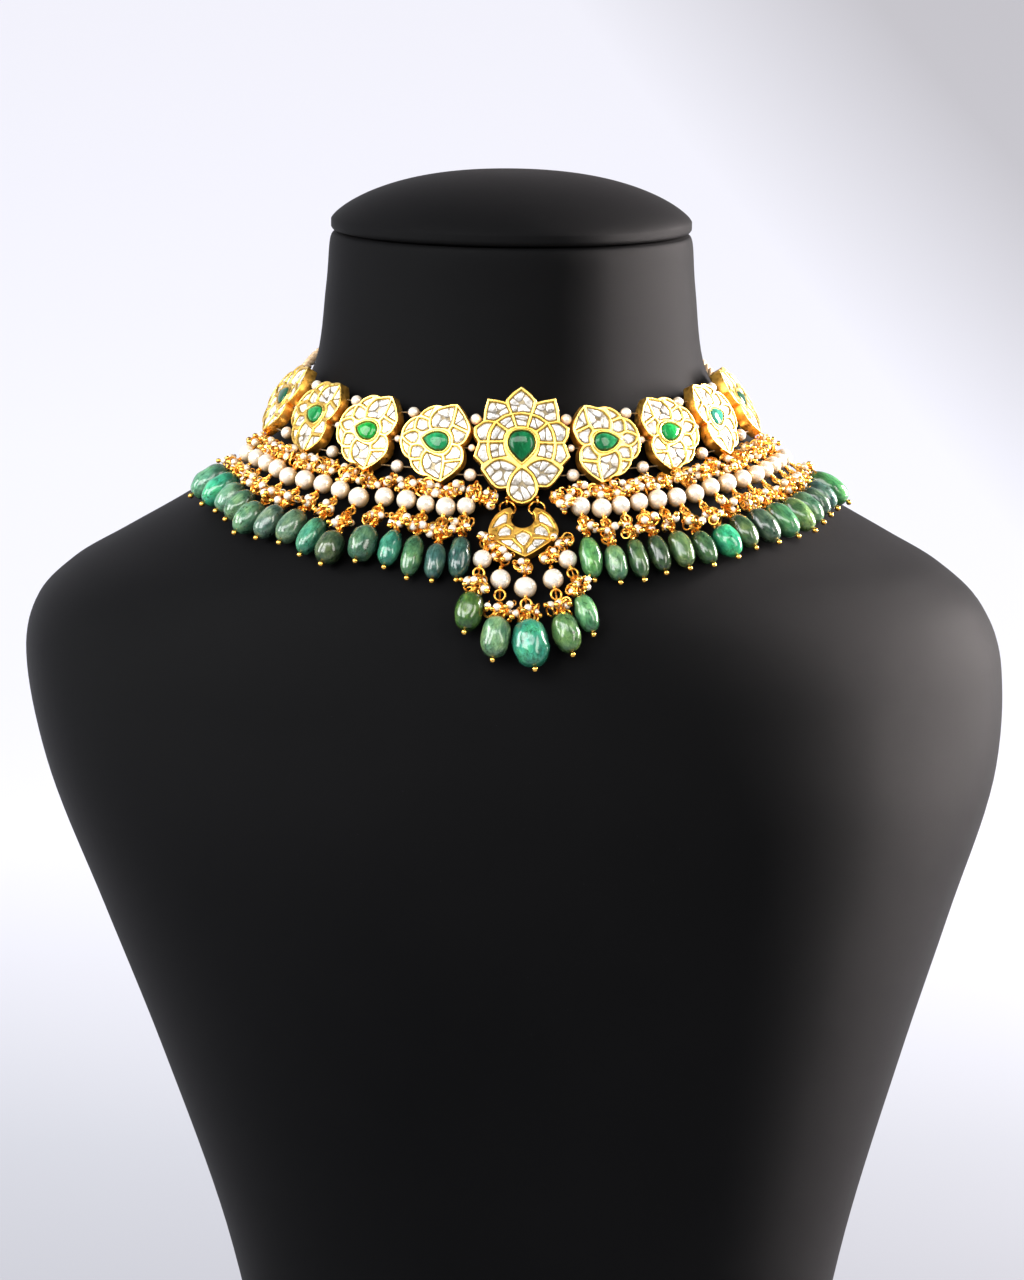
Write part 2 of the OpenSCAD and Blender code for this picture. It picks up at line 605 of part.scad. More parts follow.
function crescent_outline() =
    let (arc = [for (a = [crescent_arc_end : -12.5 : -90]) crescent_arc_r * [cos(a), sin(a)]])
    concat(
        CRESCENT_HALF,
        [[3.7, 3.4]],
        arc,
        [for (i = [len(arc) - 2 : -1 : 0]) [-arc[i][0], arc[i][1]]],
        [[-3.7, 3.4]],
        [for (i = [len(CRESCENT_HALF) - 1 : -1 : 1]) [-CRESCENT_HALF[i][0], CRESCENT_HALF[i][1]]]
    );

module crescent_setting() {
    color(gold) {
        on_crescent() difference() {
            translate([0, 0, -crescent_t]) linear_extrude(crescent_t) polygon(crescent_outline());
            for (cell = crescent_cells())
                translate([0, 0, -cell_depth]) linear_extrude(2) polygon(inset(cell, rib_half));
        }
        for (s = [LEFT, RIGHT]) {
            hung = flower_point(RIGHT, 0, [s * center_eyelet[0], center_eyelet[1], -plate_t / 2]);
            horn = crescent_point([s * 4.1, 2.3, -crescent_t / 2]);
            link_ring(hung, horn, eyelet_wire);
        }
    }
}

module polki_crescent() {
    on_crescent() polki(crescent_cells());
}

function pendant_upper(drop) = crescent_point([drop[0][0], drop[0][1], -1.1]);
function pendant_lower(drop) = over_skin(drop[1], drop[2], pendant_lift);
function pendant_bead(drop) = over_skin(drop[3], drop[4], drop[6] / 2 + bead_gap);

module pendant_pearls() {
    for (drop = PENDANT_DROPS) {
        u = pendant_upper(drop);
        l = pendant_lower(drop);
        pearl((u + l) / 2, l - u, drop[5]);
    }
}

module pendant_emerald(i) {
    drop = PENDANT_DROPS[i];
    b = pendant_bead(drop);
    bead(b, b - pendant_lower(drop), drop[6], drop[7]);
}

module pendant_links() {
    color(gold) {
        for (row = [[for (drop = PENDANT_DROPS) pendant_upper(drop)],
                [for (drop = PENDANT_DROPS) pendant_lower(drop)]])
            tube(smooth_route(stretched(row, 0.2), 11), pendant_links_d, 8);
        for (drop = PENDANT_DROPS) {
            l = pendant_lower(drop);
            tip = ball_point(l, pendant_bead(drop), drop[7]);
            rod(pendant_upper(drop), l, pin_d);
            rod(l, tip, pin_d);
            translate(tip) sphere(d = ball_d, $fn = 32);
        }
    }
}

// Neck cord and clasp
function cord_half(side) = concat(
    [for (u = cord_starts) flower_point(side, 4,
        ferrule_root + u * [cos(ferrule_turn), -sin(ferrule_turn), 0])],
    [for (p = CORD_ROUTE) polar(side * p[0], p[1], ring_z + p[2])]
);
function cord_points() =
    let (right = cord_half(RIGHT), left = cord_half(LEFT), n = len(right))
    concat(right, [for (i = [n - 2 : -1 : 0]) left[i]]);

module neck_cord() {
    points = cord_points();
    color(cord_gold) tube(smooth_route(points, 2 * (len(points) - 1)), cord_d, 8);
}

module cord_clasp() {
    back = CORD_ROUTE[len(CORD_ROUTE) - 1];
    color(gold) aimed(polar(back[0], back[1], ring_z + back[2]), [1, 0, 0]) difference() {
        cylinder(h = clasp_l, d = cord_d + 3.4, center = true, $fn = round_fn);
        cylinder(h = clasp_l + 1, d = cord_d + 1.4, center = true, $fn = round_fn);
    }
}

neck_bust();
bust_cap();
setting_center();
side_setting(LEFT, 1);  // setting_l1
side_setting(LEFT, 2);  // setting_l2
side_setting(LEFT, 3);  // setting_l3
side_setting(LEFT, 4);  // setting_l4
side_setting(RIGHT, 1);  // setting_r1
side_setting(RIGHT, 2);  // setting_r2
side_setting(RIGHT, 3);  // setting_r3
side_setting(RIGHT, 4);  // setting_r4
crescent_setting();
polki_center();
side_polki(LEFT, 1);  // polki_l1
side_polki(LEFT, 2);  // polki_l2
side_polki(LEFT, 3);  // polki_l3
side_polki(LEFT, 4);  // polki_l4
side_polki(RIGHT, 1);  // polki_r1
side_polki(RIGHT, 2);  // polki_r2
side_polki(RIGHT, 3);  // polki_r3
side_polki(RIGHT, 4);  // polki_r4
polki_crescent();
emerald_center();
side_emerald(LEFT, 1);  // emerald_l1
side_emerald(LEFT, 2);  // emerald_l2
side_emerald(LEFT, 3);  // emerald_l3
side_emerald(LEFT, 4);  // emerald_l4
side_emerald(RIGHT, 1);  // emerald_r1
side_emerald(RIGHT, 2);  // emerald_r2
side_emerald(RIGHT, 3);  // emerald_r3
side_emerald(RIGHT, 4);  // emerald_r4
spacer_pearls();
row_threads();
fringe_pearls(LEFT, LEFT_DROPS);  // fringe_pearls_left
fringe_pearls(RIGHT, RIGHT_DROPS);  // fringe_pearls_right
fringe_emeralds(LEFT, LEFT_DROPS);  // fringe_emeralds_left
fringe_emeralds(RIGHT, RIGHT_DROPS);  // fringe_emeralds_right
fringe_links(LEFT, LEFT_DROPS);  // fringe_links_left
fringe_links(RIGHT, RIGHT_DROPS);  // fringe_links_right
pendant_pearls();
pendant_links();
pendant_emerald(0);  // pendant_emerald_1
pendant_emerald(1);  // pendant_emerald_2
pendant_emerald(2);  // pendant_emerald_3
pendant_emerald(3);  // pendant_emerald_4
pendant_emerald(4);  // pendant_emerald_5
neck_cord();
cord_clasp();
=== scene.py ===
# Looks of the polki choker on its neck bust
import math
import random

import bpy
import numpy as np
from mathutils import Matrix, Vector
from mathutils.geometry import delaunay_2d_cdt


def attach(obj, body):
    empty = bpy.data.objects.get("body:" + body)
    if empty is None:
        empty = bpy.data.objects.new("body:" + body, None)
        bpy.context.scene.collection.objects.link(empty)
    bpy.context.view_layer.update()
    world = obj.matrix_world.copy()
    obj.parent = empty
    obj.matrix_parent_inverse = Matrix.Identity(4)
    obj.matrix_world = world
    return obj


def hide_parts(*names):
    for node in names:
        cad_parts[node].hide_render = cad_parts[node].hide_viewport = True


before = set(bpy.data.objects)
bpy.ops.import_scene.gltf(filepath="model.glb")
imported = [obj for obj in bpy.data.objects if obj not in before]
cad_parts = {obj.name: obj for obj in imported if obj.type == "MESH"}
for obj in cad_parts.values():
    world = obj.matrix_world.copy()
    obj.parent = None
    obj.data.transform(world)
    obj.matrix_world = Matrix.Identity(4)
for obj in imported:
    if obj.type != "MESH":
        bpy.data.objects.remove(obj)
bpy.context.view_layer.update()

# Sizes repeated from part.scad, in millimetres
MM = 0.001
RIM_H = 362.0
NECK_R = 54.2
HALF_SHOULDER = 147.0
CAP_EDGE = 3.3
CAP_RISE = 14.7
CAP_ROUND = (2.4, 0.75)
PIECE_GAP = 0.12
RING_R = 70.0
RING_Z = RIM_H - 55.4
RING_RISE = 10.2
LEAN_FRONT = 20.0
LEAN_SIDE = 18.0
FIRST_STEP = 20.6
SIDE_STEP = 18.5
FLOWER_TURN = 3.0
PLATE_T = 3.4
PIN_D = 0.6
BALL_D = 1.7
DRILL_D = 0.9
BEAD_GAP = 0.4
CRESCENT_R = 79.8
CRESCENT_Z = RIM_H - 75.1
CRESCENT_LEAN = 43.0
CRESCENT_T = 3.2
CORD_D = 3.0
CLASP_L = 12.0
LEFT, RIGHT = -1, 1

# Bust sections: drop below the rim, half width, front depth, back depth, squareness, shift
BUST_ROWS = [
    [RIM_H, 0.56 * HALF_SHOULDER, 66, 58, 2.5, 12],
    [302, 0.648 * HALF_SHOULDER, 84, 60, 2.5, 10.6],
    [247, 0.765 * HALF_SHOULDER, 98, 62, 2.45, 8.6],
    [202, 0.873 * HALF_SHOULDER, 107.5, 63, 2.4, 6.7],
    [162, 0.97 * HALF_SHOULDER, 110.5, 64, 2.35, 5],
    [130, HALF_SHOULDER, 106.5, 64, 2.3, 2.4],
    [112, 0.972 * HALF_SHOULDER, 101.5, 63, 2.25, 0.8],
    [100, 0.894 * HALF_SHOULDER, 95.4, 62, 2.2, 0],
    [90.5, 0.785 * HALF_SHOULDER, 88.4, 61, 2.12, 0],
    [80, 0.66 * HALF_SHOULDER, 78.9, 60.5, 2.06, 0],
    [70, 82, 69.8, 60, 2.03, 0],
    [57, 69.5, 64.2, 59, 2, 0],
    [40.5, 58.6, 58.2, 57.2, 2, 0],
    [17, NECK_R + 1.1, NECK_R + 0.8, NECK_R + 0.6, 2, 0],
    [3, NECK_R, NECK_R, NECK_R, 2, 0],
    [0.4, NECK_R - 1.6, NECK_R - 1.6, NECK_R - 1.6, 2, 0],
]
# The rows between which the chest under the necklace lies, and the steps that find a point on it
CHEST_ROWS = (5.0, 13.0)
SKIN_STEPS = 14
# The rounded lower hem: size and height
HEM = [(0.9, 0.0), (0.985, 0.0), (0.996, 0.5), (1.0, 1.6)]

# Outlines and cells of the flowers and the crescent, as in part.scad
SIDE_HALF = [
    [10.6, 0], [10.45, 2.3], [9.4, 4.5], [8.2, 5.7], [6.5, 6.5], [5.4, 8.3], [3.6, 9.7],
    [1.6, 10.3], [-0.2, 10.2], [-2.4, 11.1], [-4.2, 11.4], [-6.9, 8.9], [-8.9, 6.2],
    [-9.4, 4.4], [-9.0, 2.2], [-8.2, 0.7], [-7.3, 0],
]
SIDE_CELLS = [
    [[2.1, 3.2], [2.95, 4.8], [2.9, 7.0], [1.4, 9.3], [-0.3, 10.1], [-2.4, 10.9],
     [-4.0, 11.2], [-4.0, 8.3], [-3.8, 5.6], [-3.1, 3.8], [-0.6, 3.7]],
    [[-4.2, 11.1], [-6.9, 8.8], [-8.8, 6.1], [-9.2, 4.3], [-6.3, 4.9], [-4.0, 5.6], [-4.1, 8.3]],
    [[-3.3, 3.8], [-4.0, 5.2], [-6.3, 4.7], [-8.8, 4.0], [-8.8, 2.3], [-8.0, 0.9],
     [-6.7, 0.1], [-5.0, 0.2], [-4.6, 2.1]],
    [[3.0, 5.9], [5.1, 6.5], [6.2, 6.8], [5.3, 8.2], [3.6, 9.5], [2.2, 9.95], [2.7, 8.6],
     [3.0, 7.2]],
    [[2.4, 3.0], [3.1, 4.5], [3.2, 5.7], [5.1, 6.2], [6.8, 6.2], [7.2, 4.2], [7.0, 2.5],
     [5.3, 1.9], [3.9, 2.0]],
    [[6.9, 6.2], [7.3, 4.2], [7.1, 2.4], [8.9, 1.6], [10.4, 0.4], [10.3, 2.2], [9.3, 4.4],
     [8.1, 5.5]],
]
AXIS_CELL = [
    [10.4, 0], [8.9, 1.4], [7.0, 2.1], [5.6, 1.6], [5.1, 0], [5.6, -1.6], [7.0, -2.1], [8.9, -1.4],
]
SIDE_BEZEL_HALF = [
    [5.0, 0], [3.4, 1.8], [1.5, 3.0], [-0.7, 3.5], [-2.9, 3.1], [-4.3, 1.8], [-4.8, 0],
]
CENTER_HALF = [
    [0, -16.8], [2.5, -16.0], [4.1, -14.1], [4.4, -12.2], [7.1, -12.3], [9.0, -10.8],
    [11.6, -6.9], [11.4, -5.5], [13.7, -3.0], [12.1, 1.0], [13.3, 2.8], [13.4, 5.2],
    [10.8, 7.2], [10.5, 10.5], [9.6, 13.6], [6.1, 13.1], [4.3, 12.6], [4.1, 13.5],
    [2.2, 15.6], [0, 17.2],
]
CENTER_AXIS_CELLS = [
    [[0, -16.6], [2.5, -15.8], [4.0, -14.0], [4.0, -11.8], [3.1, -9.2], [1.5, -7.5], [0, -6.6]],
    [[0, 5.5], [1.6, 5.4], [2.75, 9.3], [0, 9.7]],
    [[0, 9.8], [2.9, 9.4], [3.6, 11.4], [4.0, 13.3], [2.1, 15.3], [0, 17.0]],
]
CENTER_CELLS = [
    [[1.6, 5.4], [2.9, 5.0], [4.0, 4.3], [7.4, 6.8], [5.3, 8.4], [2.9, 9.3]],
    [[4.1, 4.2], [4.7, 2.8], [4.9, 1.2], [9.5, 1.2], [8.9, 4.3], [7.5, 6.7]],
    [[4.9, 1.0], [4.6, -1.4], [3.8, -3.4], [6.2, -3.7], [8.8, -4.2], [9.4, -1.5], [9.5, 1.0]],
    [[3.0, 9.4], [5.4, 8.5], [7.6, 7.0], [10.6, 7.3], [10.4, 10.4], [9.5, 13.3], [6.2, 12.9],
     [4.3, 12.4], [3.7, 11.2]],
    [[7.7, 6.8], [9.0, 4.4], [9.7, 1.2], [11.9, 1.2], [13.1, 2.9], [13.2, 5.1], [10.7, 7.0]],
    [[9.7, 1.0], [9.6, -1.5], [9.0, -4.2], [11.2, -5.4], [13.5, -2.9], [11.9, 1.0]],
    [[1.0, -6.5], [3.1, -4.9], [6.0, -3.9], [8.7, -4.6], [11.4, -6.9], [8.9, -10.6],
     [7.0, -12.1], [4.3, -12.0], [3.3, -9.1], [1.9, -7.5]],
]
CENTER_BEZEL_HALF = [
    [0, -6.1], [2.2, -4.1], [4.1, -1.6], [4.7, 0.9], [4.0, 3.3], [2.4, 4.8], [0, 5.2],
]
CRESCENT_HALF = [
    [0, -13.0], [4.6, -10.2], [8.9, -6.9], [9.8, -4.5], [9.0, -1.5], [7.3, 1.4], [5.4, 2.9],
]
CRESCENT_ARC_R = 3.65
CRESCENT_CELLS = [
    [[3.9, 1.6], [5.2, 2.3], [7.0, 1.0], [8.6, -1.7], [9.2, -3.7], [7.8, -3.3], [5.8, -2.1],
     [4.1, -1.4]],
    [[2.8, -3.3], [4.8, -1.9], [6.8, -3.1], [7.8, -5.3], [7.2, -6.5], [5.2, -6.3], [3.1, -5.8]],
    [[2.9, -6.7], [5.2, -6.8], [7.8, -7.2], [3.8, -10.6], [0.4, -12.6], [0.3, -10.2], [1.9, -8.4]],
]
CRESCENT_SHIELD = [[0, -9.8], [1.5, -8.3], [2.7, -6.4], [2.4, -5.2], [0, -3.9]]
CRESCENT_TIP = [3.7, 3.4]
CRESCENT_HOLE = [4.1, 2.3]

# Rows of spacer pearls: height on the flower, diameter, and reach inwards, outwards and from the centre
SPACER_ROWS = [
    [8.2, 3.2, 7.6, 5.7, 10.9],
    [-0.2, 2.1, 8.4, 10.7, 12.4],
    [-8.3, 3.6, 7.5, 5.5, 10.8],
]
BORE_DEPTH = 2.35
SIDE_EYELET = [-3.6, -12.1]
CENTER_EYELET = [4.4, -16.1]
EYELET_STUB = [2.9, -14.4]
EYELET_R = 1.0
WIRE_R = 0.3

# Drops: angle from the front, pearl diameter, bead width, bead length, hang
LEFT_DROPS = [
    [11.9, 5.4, 6.8, 13.2, -1.6], [16.1, 6.0, 6.3, 11.2, -0.6], [20.4, 5.4, 6.6, 13.2, -1.2],
    [24.7, 6.0, 7.0, 11.5, -2.2], [29.6, 5.8, 8.6, 11.6, -1.8], [35.0, 6.2, 8.5, 10.8, 1.4],
    [39.9, 5.6, 7.3, 12.6, -0.4], [44.7, 5.9, 8.0, 11.6, -1.0], [49.6, 6.0, 7.8, 11.6, 0],
    [54.5, 5.6, 7.8, 11.6, 1.2], [59.4, 5.7, 7.5, 10.8, -0.8], [64.2, 5.5, 7.1, 10.4, -1.4],
    [69.2, 5.6, 7.8, 12.4, -1.6], [75.0, 5.6, 8.4, 12.8, -1.4],
]
RIGHT_DROPS = [
    [12.2, 5.9, 6.9, 13.2, -1.6], [16.6, 6.0, 6.6, 11.2, -0.2], [20.9, 5.7, 6.1, 12.6, -0.8],
    [25.1, 5.6, 6.3, 11.6, -1.2], [29.4, 5.9, 7.0, 11.8, -1.0], [33.9, 5.8, 6.8, 10.8, 0],
    [38.6, 5.6, 8.1, 10.6, 0.4], [43.5, 5.6, 7.3, 11.4, -0.8], [48.4, 5.8, 8.0, 12.2, 0],
    [53.5, 5.6, 7.9, 12.4, 0.8], [58.6, 5.7, 7.6, 12.4, 1.6], [63.4, 5.5, 7.2, 11.6, 1.4],
    [68.2, 5.4, 7.0, 10.6, 1.6], [73.0, 5.3, 7.1, 10.8, 1.8], [78.4, 5.5, 8.4, 13.6, 2.4],
]
# Rows of the fringe: radius in front and at the side, bulge between, height above the skin there
UPPER_ROW = [71.0, 75.2, 1.0, 4.6, 2.8]
LOWER_ROW = [78.9, 83.4, 2.4, 5.0, 4.4]
BEAD_ROW = [86.7, 91.3, 4.0]
ROW_SIDE_ANGLE = 80.0
# Pendant drops: place on the crescent, angle and radius of the pearl's lower end and of the bead,
# pearl diameter, bead width, bead length
PENDANT_DROPS = [
    [[-10.3, -6.8], -8.2, 91.3, -9.1, 97.0, 5.5, 8.6, 11.8],
    [[-6.3, -11.2], -4.3, 95.6, -4.8, 99.9, 6.0, 8.8, 12.2],
    [[0, -15.0], 0.1, 96.2, 0.7, 100.4, 6.4, 10.8, 14.4],
    [[7.0, -11.2], 5.3, 95.5, 6.3, 99.5, 6.0, 8.2, 11.8],
    [[10.6, -6.8], 8.6, 91.4, 9.9, 97.3, 5.5, 6.8, 11.4],
]
PENDANT_LIFT = 4.8
PENDANT_DEPTH = 1.1
# The neck cord's points: angle from the front, radius, height above the flowers
CORD_ROUTE = [
    [97, 66.9, 6], [104, 64.3, 10.4], [112, 62.3, 14.9], [123, 60.8, 18.4], [138, 60.4, 20.6],
    [153, 60.5, 21.6], [168, 60.7, 22], [180, 60.7, 22],
]
FERRULE_ROOT = [9.0, -3.2, -3.5]
FERRULE_TURN = 11.0
FERRULE_L = 6.0
CORD_STARTS = [2.2, 5.9, 8.6]
STRAND_R = 0.78
CORD_LAY = 6.5

# Colours of the beads, from the pendant outwards, as linear red, green, blue
LEFT_TINTS = [
    (0.028, 0.085, 0.070), (0.060, 0.135, 0.110), (0.075, 0.190, 0.085), (0.045, 0.230, 0.150),
    (0.060, 0.145, 0.085), (0.050, 0.085, 0.040), (0.065, 0.260, 0.150), (0.110, 0.190, 0.115),
    (0.090, 0.160, 0.115), (0.110, 0.240, 0.130), (0.085, 0.190, 0.105), (0.120, 0.270, 0.170),
    (0.040, 0.340, 0.190), (0.095, 0.270, 0.160),
]
RIGHT_TINTS = [
    (0.085, 0.260, 0.085), (0.110, 0.240, 0.120), (0.055, 0.120, 0.045), (0.045, 0.085, 0.035),
    (0.110, 0.190, 0.070), (0.055, 0.130, 0.050), (0.035, 0.360, 0.180), (0.060, 0.115, 0.045),
    (0.065, 0.115, 0.070), (0.070, 0.230, 0.100), (0.150, 0.260, 0.090), (0.100, 0.210, 0.110),
    (0.050, 0.105, 0.075), (0.065, 0.150, 0.130), (0.075, 0.280, 0.090),
]
PENDANT_TINTS = [
    (0.050, 0.120, 0.025), (0.140, 0.270, 0.140), (0.035, 0.260, 0.165), (0.120, 0.240, 0.080),
    (0.110, 0.290, 0.120),
]
MOTIF_TINTS = {
    "center": (0.006, 0.150, 0.048), "l1": (0.020, 0.330, 0.110), "l2": (0.012, 0.380, 0.050),
    "l3": (0.015, 0.330, 0.080), "l4": (0.010, 0.120, 0.055), "r1": (0.020, 0.260, 0.090),
    "r2": (0.015, 0.380, 0.080), "r3": (0.040, 0.330, 0.220), "r4": (0.010, 0.110, 0.050),
}

# How a plate is rounded and sloped, in millimetres from its outline and its cells
NEAR = 1e-6
SHARP_TURN = 46
CURVE_PULL = 0.8
EDGE_STEPS = 4
CREST = 0.2
CREST_HALF = 0.05
RIM_OUT = 0.25
ROUND = 0.24
STONE_EDGE = 0.50
BEZEL_PROFILE = [(-0.05, CREST), (0.0, 0.32), (0.12, 0.48), (0.32, 0.56), (0.52, 0.52), (0.70, 0.38),
                 (0.82, 0.15)]
# Shards: smallest areas, tones, and rings of size, height, brightness and warmth, where the low outer rings
# are darker and warmer as painted shade at each shard's edge
LEAST_HALF = 0.9
LEAST_SHARD = 0.4
SHARD_TONES = [1.0, 1.0, 0.97, 0.9, 0.8]
SHARD_RINGS = [(1.0, -0.52, 0.22, 1.7), (1.0, -0.34, 0.42, 1.5), (0.9, -0.17, 0.84, 0.9),
               (0.7, -0.06, 1.0, 0.3), (0.4, -0.02, 1.0, 0.1)]
# Rings of a cut emerald: size and height
CABOCHON = [(1.0, -0.85), (1.0, 0.05), (0.965, 0.34), (0.88, 0.6), (0.76, 0.8), (0.58, 0.96),
            (0.36, 1.04), (0.14, 1.07)]
GEM_INSET = 0.92
SEED_DRILL = 0.3
SPACER_SCALE = 1.05
WHITE = (1.0, 1.0, 1.0, 1.0)
# Painted shade: the warm dark colour of the pearls' turned-away sides, and the range of painted shade and
# light on the beads
PEARL_PAINTED_SHADE = np.array([0.76, 0.52, 0.26])
BEAD_PAINTED_SHADES = (0.36, 1.12)
# Bundles: spread, reach up, reach down, rings, seed pearls
UPPER_BUNDLE = (2.3, 2.1, 2.2, 8, 4)
LOWER_BUNDLE = (2.3, 1.8, 1.8, 5, 3)
PETAL_BUNDLE = (2.2, 2.6, 2.2, 9, 6)
CRESCENT_BUNDLE = (2.0, 1.4, 2.2, 6, 3)
PENDANT_BUNDLE = (2.9, 2.0, 1.8, 7, 5)
COIL_SHARE = 0.4
PETAL_ANGLE = 7.8
PETAL_DROP = 2.8
# The loop below each pearl of the fringe
LOOP_R = 1.55
LOOP_WIRE = 0.36
LOOP_DROP = 2.45
# Balls along the lower edges of the settings, which seed pearls keep clear of
SIDE_GUARDS = [(x, -10.4) for x in (-6, -3, 0, 3, 6)]
CENTER_GUARDS = [(x, -13.5) for x in (-7, -3, 0, 3, 7)]
FLOWER_GUARD_R = 1.9
CRESCENT_GUARDS = [(-8, -6), (-5, -9.5), (-2, -11), (2, -11), (5, -9.5), (8, -6)]
CRESCENT_GUARD_R = 2.0


# Points and curves, with the same formulas as part.scad
def unit(v):
    v = np.asarray(v, float)
    return v / np.linalg.norm(v)


def mix(a, b, t):
    return a + (b - a) * t


def eased(t):
    t = min(max(t, 0.0), 1.0)
    return t * t * (3 - 2 * t)


def sind(a):
    return math.sin(math.radians(a))


def cosd(a):
    return math.cos(math.radians(a))


def polar(angle, r, z):
    return np.array([r * sind(angle), -r * cosd(angle), z])


def curve(a, b, c, d, t):
    return 0.5 * (2 * b + (c - a) * t + (2 * a - 5 * b + 4 * c - d) * t * t
                  + (3 * b - a - 3 * c + d) * t ** 3)


def row_at(rows, s):
    last = len(rows) - 1
    i = int(min(math.floor(s), last - 1))
    return curve(rows[max(i - 1, 0)], rows[i], rows[i + 1], rows[min(i + 2, last)], s - i)


BUST = np.array(BUST_ROWS, float)


def bust_radius(angle, row):
    depth = row[2] if cosd(angle) > 0 else row[3]
    n = row[4]
    return 1 / ((abs(sind(angle)) / row[1]) ** n + (abs(cosd(angle)) / depth) ** n) ** (1 / n)


def over_skin(angle, r, height):
    # The point at a height above the skin of the chest, at a radius from the middle
    low, high = CHEST_ROWS
    for _ in range(SKIN_STEPS):
        s = (low + high) / 2
        if bust_radius(angle, row_at(BUST, s)) > r:
            low = s
        else:
            high = s
    s = (low + high) / 2
    a, b = row_at(BUST, s - 0.05), row_at(BUST, s + 0.05)
    n = unit([a[0] - b[0], bust_radius(angle, a) - bust_radius(angle, b)])
    return polar(angle, r + n[0] * height, RIM_H - row_at(BUST, s)[0] + n[1] * height)


def flower_angle(k):
    return 0 if k == 0 else FIRST_STEP + SIDE_STEP * (k - 1)


def flower_roll(k):
    if k == 0:
        return 0
    return FLOWER_TURN + math.degrees(math.atan(RING_RISE * sind(flower_angle(k)) / RING_R))


def turned(p, angle):
    c, s = cosd(angle), sind(angle)
    return np.stack([p[..., 0] * c - p[..., 1] * s, p[..., 0] * s + p[..., 1] * c, p[..., 2]], -1)


def leaned(p, r, z, lean):
    c, s = cosd(lean), sind(lean)
    return np.stack([p[..., 0], -r - p[..., 2] * c + p[..., 1] * s,
                     z + p[..., 2] * s + p[..., 1] * c], -1)


def flower_points(side, k, p):
    turn = 1 - cosd(flower_angle(k))
    p = np.array(p, float) * np.array([side, 1, 1])
    p = leaned(turned(p, side * flower_roll(k)), RING_R, RING_Z + RING_RISE * turn,
               LEAN_FRONT + LEAN_SIDE * turn)
    return turned(p, side * flower_angle(k))


def crescent_points(p):
    return leaned(np.array(p, float), CRESCENT_R, CRESCENT_Z, CRESCENT_LEAN)


def side_mix(angle):
    return (1 - cosd(angle)) / (1 - cosd(ROW_SIDE_ANGLE))


def row_radius(row, angle):
    bulge = sind(180 * min(angle / ROW_SIDE_ANGLE, 1))
    return mix(row[0], row[1], side_mix(angle)) + row[2] * bulge


def row_height(row, angle):
    return mix(row[3], row[4], side_mix(angle))


def upper_point(side, angle, lift=0.0):
    return over_skin(side * angle, row_radius(UPPER_ROW, angle), row_height(UPPER_ROW, angle) + lift)


def lower_point(side, drop):
    a = drop[0]
    return over_skin(side * a, row_radius(LOWER_ROW, a) + drop[4], row_height(LOWER_ROW, a))


def bead_point(side, drop, lift=0.0):
    a = drop[0]
    return over_skin(side * a, row_radius(BEAD_ROW, a) + drop[4], drop[2] / 2 + BEAD_GAP + lift)


# Outlines
def mirrored(cells, sx, sy):
    return [[[sx * x, sy * y] for x, y in cell] for cell in cells]


def whole(half, sx, sy):
    # Both halves of an outline whose first and last points lie on its axis
    return half + mirrored([half[-2:0:-1]], sx, sy)[0]


def signed_area(p):
    q = np.roll(p, -1, 0)
    return 0.5 * float(np.sum(p[:, 0] * q[:, 1] - q[:, 0] * p[:, 1]))


def ordered(p):
    p = np.array(p, float)
    return p if signed_area(p) > 0 else p[::-1]


def normals_of(edges):
    return np.stack([-edges[:, 1], edges[:, 0]], 1) / np.linalg.norm(edges, axis=1)[:, None]


def inset(poly, d, limit=0.55):
    n1 = normals_of(poly - np.roll(poly, 1, 0))
    n2 = normals_of(np.roll(poly, -1, 0) - poly)
    return poly + d * (n1 + n2) / np.maximum(1 + np.sum(n1 * n2, 1), limit)[:, None]


def softened(poly, steps=3):
    # Curves between corners that turn a little, straight into corners that turn a lot
    n = len(poly)
    back, ahead = poly - np.roll(poly, 1, 0), np.roll(poly, -1, 0) - poly
    lengths = np.linalg.norm(back, axis=1) * np.linalg.norm(ahead, axis=1)
    turn = np.degrees(np.arccos(np.clip(np.sum(back * ahead, 1) / lengths, -1, 1)))
    out = []
    for i in range(n):
        a, b = poly[i], poly[(i + 1) % n]
        ma = (b - a) if turn[i] > SHARP_TURN else (b - poly[i - 1]) / 2
        mb = (b - a) if turn[(i + 1) % n] > SHARP_TURN else (poly[(i + 2) % n] - a) / 2
        ma, mb = mix(b - a, ma, CURVE_PULL), mix(b - a, mb, CURVE_PULL)
        for j in range(steps):
            t = j / steps
            out.append((2 * t ** 3 - 3 * t * t + 1) * a + (t ** 3 - 2 * t * t + t) * ma
                       + (-2 * t ** 3 + 3 * t * t) * b + (t ** 3 - t * t) * mb)
    return np.array(out)


def inside(p, poly):
    hit = False
    a = poly[-1]
    for b in poly:
        if (a[1] > p[1]) != (b[1] > p[1]):
            if p[0] < (b[0] - a[0]) * (p[1] - a[1]) / (b[1] - a[1]) + a[0]:
                hit = not hit
        a = b
    return hit


